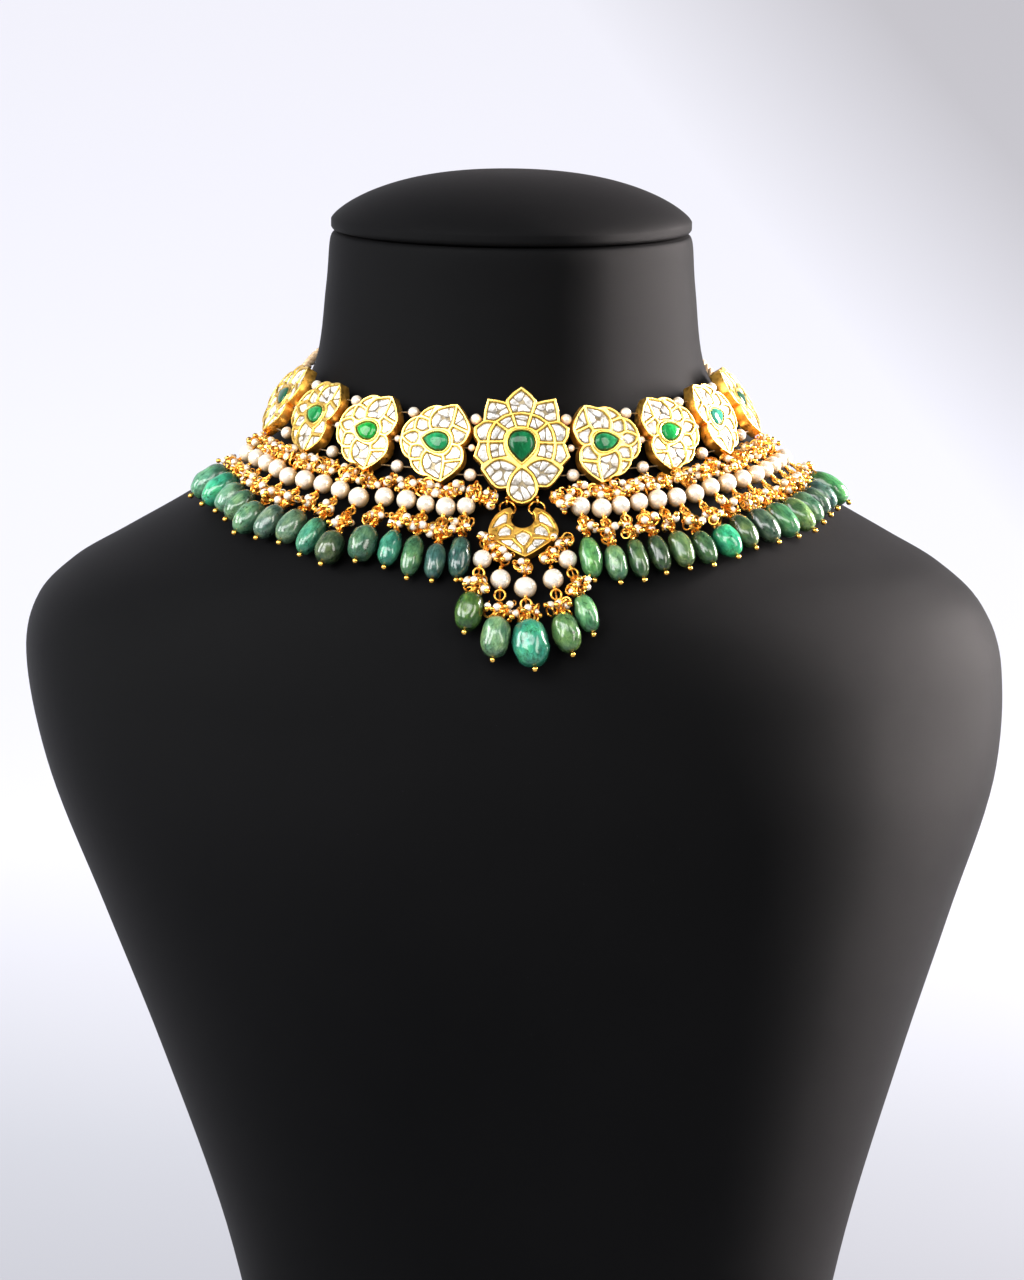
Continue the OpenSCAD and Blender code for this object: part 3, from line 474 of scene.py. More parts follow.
# A heap of points and faces that ends as one piece
class Heap:
    def __init__(self):
        self.points, self.faces, self.slots, self.tints, self.local = [], [], [], [], []

    def add(self, points, faces, slot=0, tint=None, local=None, flip=False):
        points = np.asarray(points, float)
        start = len(self.points)
        self.points.extend(points.tolist())
        for f in faces:
            f = [start + i for i in f]
            self.faces.append(f[::-1] if flip else f)
        self.slots.extend([slot] * len(faces))
        self.tints.extend((*t, 1.0) for t in ([(1, 1, 1)] * len(points) if tint is None else tint))
        self.local.extend((points if local is None else local).tolist())

    def piece(self, name, materials, sharp, slot, node):
        # Makes the object, which takes the place of a CAD node
        mesh = bpy.data.meshes.new(name)
        mesh.from_pydata([[c * MM for c in p] for p in self.points], [], self.faces)
        mesh.validate()
        for m in materials:
            mesh.materials.append(m)
        if len(mesh.polygons) == len(self.slots):
            mesh.polygons.foreach_set("material_index", self.slots)
        tint = mesh.color_attributes.new("tint", "FLOAT_COLOR", "POINT")
        tint.data.foreach_set("color", np.array(self.tints, float).ravel())
        local = mesh.attributes.new("local", "FLOAT_VECTOR", "POINT")
        local.data.foreach_set("vector", np.array(self.local, float).ravel())
        mesh.shade_smooth()
        mesh.set_sharp_from_angle(angle=math.radians(sharp))
        mesh.update()
        obj = bpy.data.objects.new(name, mesh)
        bpy.context.scene.collection.objects.link(obj)
        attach(obj, "root")
        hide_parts(node)


def strip(rings):
    # Faces between rings that each have the same number of points
    n = len(rings[0])
    faces = []
    for i in range(len(rings) - 1):
        for j in range(n):
            a, b = i * n + j, i * n + (j + 1) % n
            faces.append([a, b, b + n, a + n])
    return np.concatenate(rings), faces


def end_faces(rings):
    n, m = len(rings[0]), len(rings)
    return [list(range(n))[::-1], [(m - 1) * n + j for j in range(n)]]


def around(at, e1, e2, r, sides):
    return np.array([at + r * (math.cos(a) * e1 + math.sin(a) * e2)
                     for a in (2 * math.pi * j / sides for j in range(sides))])


def axes_of(along):
    w = unit(along)
    helper = np.array([0, 0, 1.0]) if abs(w[2]) < 0.9 else np.array([1.0, 0, 0])
    e1 = unit(np.cross(helper, w))
    return e1, np.cross(w, e1), w


def carried_axes(route):
    # Two directions across a route at each of its points, without a sudden turn
    tangents = np.gradient(route, axis=0)
    tangents /= np.linalg.norm(tangents, axis=1)[:, None]
    e1, _, _ = axes_of(tangents[0])
    frames = []
    for w in tangents:
        e1 = unit(e1 - w * float(e1 @ w))
        frames.append((e1, np.cross(w, e1)))
    return frames


def lathe(profile, at, along, sides, wobble=None):
    # A profile of radius and height, turned around a direction; the last result is before placing
    e1, e2, w = axes_of(along)
    flat = []
    for r, h in profile:
        ring = [np.array([r * math.cos(a), r * math.sin(a), h])
                for a in (2 * math.pi * j / sides for j in range(sides))]
        flat.append(np.array([wobble(p) for p in ring] if wobble else ring))
    local, faces = strip(flat)
    points = at + local[:, :1] * e1 + local[:, 1:2] * e2 + local[:, 2:] * w
    return points, faces + end_faces(flat), local


def torus_mesh(at, normal, r, wire, turns, sides):
    e1, e2, w = axes_of(normal)
    outs = [unit(math.cos(a) * e1 + math.sin(a) * e2)
            for a in (2 * math.pi * i / turns for i in range(turns))]
    rings = [around(at + out * r, out, w, wire, sides) for out in outs]
    points, faces = strip(rings + rings[:1])
    keep = turns * sides
    return points[:keep], [[i % keep for i in f][::-1] for f in faces]


def tube_mesh(route, radius, sides):
    route = np.asarray(route, float)
    rings = [around(p, e1, e2, radius, sides) for p, (e1, e2) in zip(route, carried_axes(route))]
    points, faces = strip(rings)
    return points, faces + end_faces(rings)


def ball_mesh(at, d, sides, rows):
    profile = [(d / 2 * math.sin(math.pi * i / rows), -d / 2 * math.cos(math.pi * i / rows))
               for i in range(1, rows)]
    return lathe(profile, np.asarray(at, float), [0.1, 0.2, 1], sides)[:2]


def spiral(start, along, r, length, turns):
    e1, e2, w = axes_of(along)
    steps = int(turns * 9)
    return [start + w * length * i / steps
            + r * (math.cos(2 * math.pi * turns * i / steps) * e1
                   + math.sin(2 * math.pi * turns * i / steps) * e2)
            for i in range(steps + 1)]


# Materials, each a graph of nodes that ends in one shader
class Graph:
    def __init__(self, name, **sockets):
        self.material = bpy.data.materials.new(name)
        self.material.use_nodes = True
        self.nodes, self.links = self.material.node_tree.nodes, self.material.node_tree.links
        self.shader = self.nodes["Principled BSDF"]
        for key, value in sockets.items():
            self.shader.inputs[key.replace("_", " ")].default_value = value

    def feed(self, value, socket):
        if isinstance(value, bpy.types.NodeSocket):
            self.links.new(value, socket)
        else:
            socket.default_value = value

    def add(self, kind, **values):
        n = self.nodes.new("ShaderNode" + kind)
        for key, value in values.items():
            if key in n.inputs:
                self.feed(value, n.inputs[key])
            else:
                setattr(n, key, value)
        return n

    def place(self):
        return self.add("TexCoord").outputs["Object"]

    def attribute(self, name, output):
        return self.add("Attribute", attribute_name=name).outputs[output]

    def noise(self, vector, scale, detail, **values):
        return self.add("TexNoise", Vector=vector, Scale=scale, Detail=detail, **values).outputs["Fac"]

    def ramp(self, source, *stops):
        n = self.add("ValToRGB", Fac=source)
        while len(n.color_ramp.elements) < len(stops):
            n.color_ramp.elements.new(0.5)
        for e, (at, color) in zip(n.color_ramp.elements, stops):
            e.position = at
            e.color = (*(color if isinstance(color, tuple) else (color,) * 3), 1.0)
        return n.outputs["Color"]

    def partly(self, where, color):
        # White, or the colour where the mask says so
        n = self.add("Mix", data_type="RGBA", Factor=where)
        n.inputs[6].default_value = WHITE
        self.feed(color, n.inputs[7])
        return n.outputs[2]

    def times(self, first, *others):
        for other in others:
            n = self.add("Mix", data_type="RGBA", blend_type="MULTIPLY", Factor=1.0)
            self.feed(first, n.inputs[6])
            self.feed(other, n.inputs[7])
            first = n.outputs[2]
        return first

    def reckon(self, operation, *values):
        n = self.add("Math", operation=operation)
        for value, socket in zip(values, n.inputs):
            self.feed(value, socket)
        return n.outputs["Value"]

    def finish(self, color, rough, height, strength, distance=0.0001):
        bump = self.add("Bump", Strength=strength, Distance=distance, Height=height)
        for value, key in ((color, "Base Color"), (rough, "Roughness"), (bump.outputs["Normal"], "Normal")):
            self.feed(value, self.shader.inputs[key])
        return self.material


def gold_material(name, color, roughness, darker, bump=0.08):
    g = Graph(name, Metallic=1.0)
    place = g.place()
    fine = g.noise(place, 900.0, 3.0, Roughness=0.6)
    tone = g.ramp(g.noise(place, 225.0, 2.0), (0.3, darker), (0.62, color))
    rough = g.ramp(fine, (0.3, roughness * 0.7), (0.7, roughness * 1.5))
    return g.finish(tone, rough, fine, bump)


def polki_material():
    # Clear stone with a few cracks, patches of different brightness, and a thin veil
    g = Graph("polki", Metallic=0.15, IOR=2.0)
    place = g.place()
    warp = g.add("TexNoise", Vector=place, Scale=420.0, Detail=2.0)
    moved = g.add("Mix", data_type="VECTOR", Factor=0.0016)
    g.feed(place, moved.inputs[4])
    g.feed(warp.outputs["Color"], moved.inputs[5])
    cracks = g.add("TexVoronoi", feature="DISTANCE_TO_EDGE", Vector=moved.outputs[1], Scale=430.0,
                   Randomness=1.0)
    line = g.ramp(cracks.outputs["Distance"], (0.0, (0.34, 0.29, 0.23)), (0.05, (0.70, 0.66, 0.60)),
                  (0.16, 1.0))
    where = g.ramp(g.noise(place, 260.0, 1.0), (0.52, 0.0), (0.66, 1.0))
    patches = g.add("TexVoronoi", feature="F1", Vector=place, Scale=760.0, Randomness=1.0)
    split = g.add("SeparateColor", Color=patches.outputs["Color"])
    shade = g.ramp(split.outputs["Red"], (0.0, (0.60, 0.57, 0.52)), (0.22, 0.86), (1.0, 1.0))
    cloud = g.noise(place, 1100.0, 4.0, Roughness=0.7)
    veil = g.ramp(cloud, (0.38, (0.66, 0.63, 0.57)), (0.56, 1.0))
    # The tint attribute brings the painted shade at each shard's edge
    color = g.times(g.attribute("tint", "Color"), g.partly(where, line), shade, veil)
    return g.finish(color, g.ramp(cloud, (0.3, 0.04), (0.7, 0.16)), cloud, 0.35, 0.00012)


def stretched(g, scale):
    n = g.add("Mapping", Vector=g.attribute("local", "Vector"))
    n.inputs["Scale"].default_value = scale
    return n.outputs["Vector"]


def gem_material():
    g = Graph("cut_emerald", IOR=1.5, Specular_IOR_Level=0.3)
    garden = g.noise(stretched(g, (0.9, 0.35, 0.9)), 0.8, 5.0, Roughness=0.6, Distortion=0.8)
    depth = g.ramp(garden, (0.32, (0.35, 0.45, 0.40)), (0.50, 0.95), (0.68, (1.9, 1.35, 1.5)))
    color = g.times(g.attribute("tint", "Color"), depth)
    return g.finish(color, g.ramp(garden, (0.3, 0.05), (0.7, 0.14)), garden, 0.06)


def bead_material():
    # Streaked, cloudy emerald with dark mossy places
    g = Graph("emerald_beads", IOR=1.58, Coat_Weight=0.15, Coat_Roughness=0.08, Subsurface_Weight=0.25,
              Subsurface_Radius=(0.0012, 0.003, 0.002))
    local = g.attribute("local", "Vector")
    streaks = g.noise(stretched(g, (1.0, 1.0, 0.32)), 0.75, 6.0, Roughness=0.66, Distortion=0.7)
    tone = g.ramp(streaks, (0.30, (0.32, 0.36, 0.34)), (0.46, (0.78, 0.84, 0.80)),
                  (0.58, (1.15, 1.12, 1.12)), (0.70, (2.1, 1.7, 1.9)))
    patch = g.ramp(g.noise(local, 0.22, 3.0, Roughness=0.55), (0.36, (0.45, 0.62, 0.66)), (0.5, 0.95),
                   (0.66, (1.5, 1.25, 1.0)))
    moss = g.ramp(g.noise(local, 1.0, 6.0, Roughness=0.72, Distortion=0.6), (0.36, (0.10, 0.12, 0.08)),
                  (0.47, (0.80, 0.84, 0.80)), (0.55, 1.0))
    where = g.ramp(g.noise(local, 0.3, 1.0), (0.47, 0.0), (0.62, 1.0))
    color = g.times(g.attribute("tint", "Color"), tone, patch, g.partly(where, moss))
    rough = g.ramp(g.noise(local, 3.0, 3.0), (0.35, 0.12), (0.7, 0.26))
    return g.finish(color, rough, streaks, 0.12, 0.0002)


def pearl_material():
    g = Graph("pearl", Metallic=0.34, IOR=1.75, Coat_Weight=0.6, Coat_Roughness=0.16)
    local = g.attribute("local", "Vector")
    tone = g.ramp(g.noise(local, 0.5, 3.0), (0.3, (0.82, 0.77, 0.63)), (0.5, (0.88, 0.85, 0.75)),
                  (0.7, (0.90, 0.885, 0.82)))
    fine = g.noise(local, 0.5, 1.0)
    color = g.times(tone, g.attribute("tint", "Color"))
    return g.finish(color, g.ramp(fine, (0.3, 0.20), (0.7, 0.30)), fine, 0.03)


def satin_material():
    # Black satin: a twill across a finer thread, with a little lint
    g = Graph("satin", Specular_IOR_Level=0.05, Sheen_Weight=0.012, Sheen_Roughness=0.3,
              Sheen_Tint=(1.0, 0.88, 0.86, 1.0))
    place = g.place()
    lean = g.add("Mapping", Vector=place)
    lean.inputs["Rotation"].default_value = (0.0, math.radians(38), 0.0)
    twill, threads = (
        g.add("TexWave", wave_type="BANDS", bands_direction=across, Vector=vector, Scale=scale,
              Distortion=distortion, Detail=1.0).outputs["Fac"]
        for across, vector, scale, distortion in (("X", lean.outputs["Vector"], 1150.0, 0.8),
                                                  ("Z", place, 1900.0, 0.5)))
    cloud = g.noise(place, 9.0, 4.0, Roughness=0.55)
    lint = g.add("TexVoronoi", feature="F1", Vector=place, Scale=190.0).outputs["Distance"]
    tone = g.ramp(cloud, (0.3, (0.0022, 0.0023, 0.0026)), (0.7, (0.0036, 0.0036, 0.0040)))
    color = g.times(tone, g.ramp(lint, (0.018, 9.0), (0.03, 1.0)))
    height = g.reckon("MULTIPLY_ADD", threads, 0.5, twill)
    return g.finish(color, g.ramp(cloud, (0.3, 0.52), (0.7, 0.60)), height, 0.6, 0.00008)


def thread_material(name, dark, light):
    g = Graph(name, Metallic=0.35, Sheen_Weight=0.2)
    place = g.place()
    fibre = g.noise(place, 1400.0, 4.0, Roughness=0.7)
    rough = g.ramp(g.noise(place, 220.0, 2.0), (0.3, 0.40), (0.7, 0.62))
    return g.finish(g.ramp(fibre, (0.35, dark), (0.65, light)), rough, fibre, 0.5)


def floor_material():
    # Pale paper that glows, with painted shade: darker close in front and in the far upper right corner
    g = Graph("pale_floor", Emission_Strength=0.88, Roughness=0.9)
    at = g.add("SeparateXYZ", Vector=g.place()).outputs
    near = g.ramp(g.reckon("DIVIDE", at["Y"], 2.0), (0.0, (0.42, 0.43, 0.48)), (0.15, (0.53, 0.55, 0.61)),
                  (0.42, (0.85, 0.86, 0.95)), (0.75, (0.86, 0.87, 0.96)), (1.0, (0.80, 0.80, 0.87)))
    corner = g.reckon("MULTIPLY_ADD", at["X"], 1.2, at["Z"])
    # The painted glow: the paper's emission, darkened by the painted shade of both ramps
    painted_glow = g.times(near, g.ramp(corner, (0.50, 1.0), (0.74, (0.64, 0.63, 0.62))))
    g.feed(painted_glow, g.shader.inputs["Emission Color"])
    g.feed(g.times(painted_glow, (0.12, 0.12, 0.12, 1.0)), g.shader.inputs["Base Color"])
    return g.material


# Lit and shaded copies of one gold: the ribs paler, as if lit; the walls more orange as painted reflection
# between gold surfaces; the slopes darker as painted shade round each stone; the beds are foil, darkened as
# painted shade between the shards
RIB_GOLD = gold_material("gold_ribs", (1.0, 0.69, 0.18), 0.29, (0.92, 0.56, 0.10), 0.35)
WALL_GOLD_REFLECTED = gold_material("gold_walls_reflected", (1.0, 0.57, 0.11), 0.36, (0.93, 0.46, 0.07), 0.06)
SHADED_SLOPE_GOLD = gold_material("gold_slopes_shaded", (0.72, 0.52, 0.12), 0.34, (0.48, 0.32, 0.06))
SHADED_BED_FOIL = gold_material("foil_beds_shaded", (0.34, 0.28, 0.18), 0.45, (0.18, 0.14, 0.08))
CRESCENT_GOLD = gold_material("gold_crescent", (1.0, 0.60, 0.12), 0.38, (0.94, 0.48, 0.07), 0.4)
RING_GOLD = gold_material("gold_rings", (0.95, 0.51, 0.10), 0.26, (0.80, 0.35, 0.04))
BALL_GOLD = gold_material("gold_balls", (0.99, 0.58, 0.12), 0.20, (0.92, 0.46, 0.07), 0.04)
POLKI = polki_material()
GEM = gem_material()
BEAD = bead_material()
PEARL = pearl_material()
SATIN = satin_material()
CORD_THREAD = thread_material("gold_thread", (0.66, 0.42, 0.22), (0.95, 0.72, 0.46))
FINE_THREAD = thread_material("row_thread", (0.10, 0.06, 0.02), (0.24, 0.15, 0.05))
SETTING_LOOKS = [WALL_GOLD_REFLECTED, RING_GOLD, SHADED_SLOPE_GOLD, SHADED_BED_FOIL]
LINK_LOOKS = [RING_GOLD, PEARL, BALL_GOLD]
# The places of these materials in a setting and in the links
RIBS, WALLS, RINGS, SLOPES, BEDS = range(5)
WIRES, SEEDS, BALLS = range(3)


# Bust and cap
def bust():
    sides, per_row = 176, 8
    rings = []
    for i in range((len(BUST) - 1) * per_row + 1):
        row = row_at(BUST, i / per_row)
        shift = np.array([row[5], 0, 0])
        rings.append(np.array([polar(a, bust_radius(a, row), RIM_H - row[0]) + shift
                               for a in (360 * j / sides for j in range(sides))]))
    middle = np.array([BUST_ROWS[0][5], 0, 0])
    hem = [middle + (rings[0] - middle) * [shrink, shrink, 0] + [0, 0, z] for shrink, z in HEM]
    rings = hem + rings[1:]
    points, faces = strip(rings)
    heap = Heap()
    heap.add(points, faces + end_faces(rings))
    heap.piece("bust_satin", [SATIN], 60, "satin", "neck_bust")


def cap():
    z, r, steps = RIM_H + PIECE_GAP, NECK_R - 0.3, 40
    profile = [(0.01, z), (r - 1.5, z), (r - 0.5, z + 0.35), (r - 0.05, z + 1.0), (r, z + 1.6)]
    for i in range(steps, -1, -1):
        t = sind(90 * i / steps)
        rise = max(1 - t ** CAP_ROUND[0], 0) ** CAP_ROUND[1]
        profile.append((r * max(t, 1e-4), RIM_H + CAP_EDGE + CAP_RISE * rise))
    heap = Heap()
    heap.add(*lathe(profile, np.zeros(3), [0, 0, 1], 120)[:2])
    heap.piece("cap_satin", [SATIN], 50, "satin", "bust_cap")


bust()
cap()


# Settings: plates with rounded ribs, sloped gold around each stone, and a raised bezel
def hand_warp(seed, amount=0.09):
    # The small unevenness of a plate shaped by hand
    rng = random.Random(seed)
    waves = [(rng.uniform(0.15, 0.4), rng.uniform(0.15, 0.4), rng.uniform(0, 6.3), rng.uniform(0, 6.3))
             for _ in range(3)]

    def warp(p):
        p = np.array(p, float)
        x, y = p[:, 0].copy(), p[:, 1].copy()
        for a, b, c, d in waves:
            p[:, 0] += amount * np.sin(a * y + b * x * 0.6 + c)
            p[:, 1] += amount * np.sin(b * x + a * y * 0.6 + d)
        return p
    return warp


def with_z(poly, z):
    return np.column_stack([poly, np.full(len(poly), z)])


def sheet(ring, down):
    # A flat sheet of faces inside a ring of points
    n = len(ring)
    edges = [(i, (i + 1) % n) for i in range(n)]
    res = delaunay_2d_cdt([Vector(p[:2]) for p in ring], edges, [], 1, NEAR)
    points = np.array([[v.x, v.y, ring[0][2]] for v in res[0]])
    return points, [list(f)[::-1] if down else list(f) for f in res[2]]


def plate(heap, outline, cells, bezel, thick, place, flip):
    rim = softened(ordered(outline))
    turns = [90 * j / EDGE_STEPS for j in range(EDGE_STEPS + 1)]
    tops = []

    def put(points, faces, slot, back=False):
        heap.add(place(points), [f[::-1] for f in faces] if back else faces, slot, flip=flip)

    rings = [with_z(inset(rim, ROUND * (1 - sind(t)) - RIM_OUT), CREST - ROUND * (1 - cosd(t)))
             for t in turns]
    tops.append(rings[0][:, :2])
    put(*strip(rings), RIBS, back=True)
    wall = [rings[-1]] + [with_z(inset(rim, d), z) for d, z in
                          [(-0.18, -0.9), (-0.25, 0.5 - thick), (-0.12, 0.12 - thick), (0.1, -thick)]]
    put(*strip(wall), WALLS, back=True)
    put(*sheet(wall[-1], True), WALLS)

    for cell in cells:
        soft = softened(ordered(cell))
        rings = [with_z(inset(soft, CREST_HALF + ROUND * sind(t)), CREST - ROUND * (1 - cosd(t)))
                 for t in turns]
        tops.append(rings[0][:, :2])
        put(*strip(rings), RIBS)
        slope = [rings[-1]] + [with_z(inset(soft, d), z) for d, z in
                               [(0.36, -0.16), (STONE_EDGE - 0.02, -0.36), (STONE_EDGE + 0.1, -0.5)]]
        put(*strip(slope), SLOPES)
        put(*sheet(slope[-1], False), BEDS)

    if bezel is not None:
        soft = softened(ordered(bezel), 4)
        rings = [with_z(inset(soft, d), z) for d, z in BEZEL_PROFILE]
        tops.append(rings[0][:, :2])
        put(*strip(rings), RIBS)
        seat = [rings[-1]] + [with_z(inset(soft, d), z) for d, z in [(0.88, -0.2), (0.9, -0.9)]]
        put(*strip(seat), WALLS)
        put(*sheet(seat[-1], False), WALLS)

    # The flat top between the ribs
    verts, edges = [], []
    for ring in tops:
        start = len(verts)
        verts.extend(Vector(p) for p in ring)
        edges.extend((start + i, start + (i + 1) % len(ring)) for i in range(len(ring)))
    res = delaunay_2d_cdt(verts, edges, [], 0, NEAR)
    faces = []
    for f in res[2]:
        c = sum((res[0][i] for i in f), Vector((0, 0))) / len(f)
        if inside(c, tops[0]) and not any(inside(c, hole) for hole in tops[1:]):
            a, b, d = (res[0][i] for i in f[:3])
            faces.append(list(f) if (b - a).cross(d - a) > 0 else list(f)[::-1])
    put([[v.x, v.y, CREST] for v in res[0]], faces, RIBS)


# Stones: rough shards side by side in each cell, and one cut emerald
def split_polygon(poly, at, direction):
    # Two parts of a polygon on the two sides of a line
    n = np.array([-direction[1], direction[0]])
    parts = []
    for sign in (1, -1):
        out = []
        for i in range(len(poly)):
            a, b = poly[i], poly[(i + 1) % len(poly)]
            da, db = sign * float((a - at) @ n), sign * float((b - at) @ n)
            if da >= 0:
                out.append(a)
            if (da > 0) != (db > 0) and abs(da - db) > 1e-9:
                out.append(a + (b - a) * da / (da - db))
        if len(out) >= 3:
            parts.append(np.array(out))
    return parts


def without_short_edges(poly, least=0.12):
    out = [poly[0]]
    for p in poly[1:]:
        if np.linalg.norm(p - out[-1]) > least:
            out.append(p)
    if len(out) > 2 and np.linalg.norm(out[0] - out[-1]) < least:
        out.pop()
    return np.array(out)


def rounded(poly, cut=0.3):
    ahead = np.roll(poly, -1, 0)
    return np.stack([poly + (ahead - poly) * cut, ahead + (poly - ahead) * cut], 1).reshape(-1, 2)


def shards(poly, wanted, rng):
    # Splits the largest part across its length until there are enough
    parts = [poly]
    while len(parts) < wanted:
        parts.sort(key=lambda q: -abs(signed_area(q)))
        big = parts.pop(0)
        middle = big.mean(0)
        values, vectors = np.linalg.eigh((big - middle).T @ (big - middle))
        x, y = vectors[:, 0]
        turn = rng.uniform(-30, 30)
        across = np.array([x * cosd(turn) - y * sind(turn), x * sind(turn) + y * cosd(turn)])
        at = middle + vectors[:, 1] * rng.uniform(-0.16, 0.16) * math.sqrt(max(values[1], 0) / len(big))
        halves = [without_short_edges(q) for q in split_polygon(big, at, across)]
        halves = [q for q in halves if len(q) >= 3 and abs(signed_area(q)) > LEAST_HALF]
        if len(halves) != 2:
            parts.append(big)
            break
        parts.extend(halves)
    return parts


def lit(tone, warm):
    return (tone, tone * (1 - 0.10 * warm), tone * (1 - 0.26 * warm))


def stones(heap, cells, counts, place, flip, rng):
    for cell, wanted in zip(cells, counts):
        bed = inset(softened(ordered(cell), 2), STONE_EDGE - 0.02, 0.4)
        parts = shards(bed, wanted, rng)
        for part in parts:
            part = ordered(part)
            if abs(signed_area(part)) < LEAST_SHARD:
                continue
            girdle = rounded(inset(part, 0.05 if len(parts) > 1 else 0.02, 0.4))
            if len(girdle) < 14:
                girdle = rounded(girdle, 0.25)
            n = len(girdle)
            middle = girdle.mean(0)
            shift = np.array([rng.uniform(-0.12, 0.12), rng.uniform(-0.12, 0.12)])
            tilt = np.array([rng.uniform(-0.09, 0.09), rng.uniform(-0.09, 0.09)])
            tone = rng.choice(SHARD_TONES)
            warm = rng.uniform(0.2, 0.9)
            top = rng.uniform(-0.08, 0.05)
            rings, tints = [], []
            # Painted shade in the tint: each shard darker and warmer towards its sunken edge, and white on
            # top
            for keep, z, shade, shade_warmth in SHARD_RINGS:
                ring = middle + (girdle - middle) * keep + shift * (1 - keep)
                zs = [z + top * (1 - keep) + float((q - middle) @ tilt) * (1 - keep) * 2.5
                      + rng.uniform(-0.012, 0.012) for q in ring]
                rings.append(np.column_stack([ring, zs]))
                tints.extend(lit(tone * shade * rng.uniform(0.9, 1.04), warm * shade_warmth) for _ in range(n))
            points, faces = strip(rings)
            crown = np.array([[*(middle + shift), float(np.mean(rings[-1][:, 2])) + 0.01]])
            tints.append(lit(tone, warm * 0.2))
            rim = len(points) - n
            faces = [f for a, b, c, d in faces for f in ([a, b, c], [a, c, d])]
            faces += [[rim + i, rim + (i + 1) % n, len(points)] for i in range(n)]
            heap.add(place(np.concatenate([points, crown])), faces, tint=tints, flip=flip)


def cut_stone(heap, bezel, place, flip, tint, rng):
    # A low cabochon with a soft edge; its tint has a painted glow gathering near its point and painted
    # shade at its rim
    girdle = inset(softened(ordered(bezel), 4), GEM_INSET)
    middle = girdle.mean(0)
    span = max(np.linalg.norm(q - middle) for q in girdle)
    rings, tints = [], []
    for keep, z in CABOCHON:
        ring = middle + (girdle - middle) * keep
        rings.append(with_z(ring, z))
        # Painted light in the tint: a bright band near the point, stronger to one side, and painted shade
        # on the outer rings
        for u, v in (ring - middle) / span:
            painted_glow = 0.62 + 0.5 * max(0.0, 1 - abs(u - 0.25) * 2.2) * (0.6 + 0.4 * v)
            painted_glow = max((painted_glow - 0.35 * (keep > 0.9)) * rng.uniform(0.9, 1.1), 0.22)
            tints.append(tuple(c * painted_glow for c in tint))
    points, faces = strip(rings)
    heap.add(place(points), faces + end_faces(rings)[::-1], tint=tints, local=points, flip=flip)


def ferrule_point(u):
    x, y, z = FERRULE_ROOT
    return [x + u * cosd(FERRULE_TURN), y - u * sind(FERRULE_TURN), z]


def eyelet_at(heap, place, x, y):
    z = -PLATE_T / 2
    centre, beside, root = place(np.array([[x, y, z], [x + 1, y, z], [x, y + EYELET_R + 0.1, z]]))
    heap.add(*torus_mesh(centre, beside - centre, EYELET_R, WIRE_R, 22, 9), RINGS)
    heap.add(*ball_mesh(root, 1.1, 12, 7), RINGS)


def ferrule(heap, side):
    ends = flower_points(side, 4, [ferrule_point(0), ferrule_point(1)])
    r, bore = CORD_D / 2 + 0.7, CORD_D / 2 + 0.3
    profile = [(0.6, 0), (r - 0.3, 0), (r, 0.35), (r, 0.9), (r - 0.25, 1.2), (r - 0.25, 4.6), (r, 4.9),
               (r, 5.6), (r - 0.25, FERRULE_L), (bore + 0.05, FERRULE_L), (bore, 5.7), (bore, 1.8),
               (0.3, 1.7)]
    heap.add(*lathe(profile, ends[0], ends[1] - ends[0], 32)[:2], RINGS)


# Outline, cells, bezel, and the number of shards in each cell
SIDE_FLOWER = (whole(SIDE_HALF, 1, -1), SIDE_CELLS + mirrored(SIDE_CELLS, 1, -1) + [AXIS_CELL],
               whole(SIDE_BEZEL_HALF, 1, -1), [4, 2, 1, 1, 1, 1] * 2 + [1])
CENTER_FLOWER = (whole(CENTER_HALF, -1, 1),
                 [whole(c, -1, 1) for c in CENTER_AXIS_CELLS] + CENTER_CELLS
                 + mirrored(CENTER_CELLS, -1, 1),
                 whole(CENTER_BEZEL_HALF, -1, 1), [6, 2, 5] + [2, 2, 3, 4, 1, 1, 6] * 2)
CRESCENT_SHARDS = [1, 1, 2] * 2 + [1]


def flower(name, side, k, seed):
    rng, warp = random.Random(seed), hand_warp(seed + 100)
    flip = side < 0

    def place(points):
        return flower_points(side, k, warp(points))

    setting, gems, cut = Heap(), Heap(), Heap()
    outline, cells, bezel, counts = SIDE_FLOWER if k else CENTER_FLOWER
    plate(setting, outline, cells, bezel, PLATE_T, place, flip)
    stones(gems, cells, counts, place, flip, rng)
    cut_stone(cut, bezel, place, flip, MOTIF_TINTS[name], rng)
    if k:
        eyelet_at(setting, place, *SIDE_EYELET)
    else:
        x, y = CENTER_EYELET
        for s in (LEFT, RIGHT):
            eyelet_at(setting, place, s * x, y)
            a, b = place(np.array([[s * EYELET_STUB[0], EYELET_STUB[1], -PLATE_T / 2],
                                   [s * x, y + EYELET_R, -PLATE_T / 2]]))
            setting.add(*tube_mesh([a, (a + b) / 2, b], 0.45, 10), RINGS)
    if k == 4:
        ferrule(setting, side)
    setting.piece("setting_fine_" + name, [RIB_GOLD] + SETTING_LOOKS, 35, "gold", "setting_" + name)
    gems.piece("polki_fine_" + name, [POLKI], 40, "polki", "polki_" + name)
    cut.piece("emerald_fine_" + name, [GEM], 50, "emerald", "emerald_" + name)


flower("center", RIGHT, 0, 11)
for number in (1, 2, 3, 4):
    flower("l%d" % number, LEFT, number, 20 + number)
    flower("r%d" % number, RIGHT, number, 40 + number)


def crescent_outline():
    arc = [[CRESCENT_ARC_R * cosd(a), CRESCENT_ARC_R * sind(a)] for a in np.arange(35, -91, -12.5)]
    half = CRESCENT_HALF + [CRESCENT_TIP] + arc
    return half + mirrored([half[-2:0:-1]], -1, 1)[0]


def link_between(heap, p, q, slot):
    p, q = np.asarray(p, float), np.asarray(q, float)
    w = unit(q - p)
    level = unit(np.cross([0, 0, 1], w))
    heap.add(*torus_mesh((p + q) / 2, np.cross(w, level), np.linalg.norm(q - p) / 2, WIRE_R, 28, 10), slot)


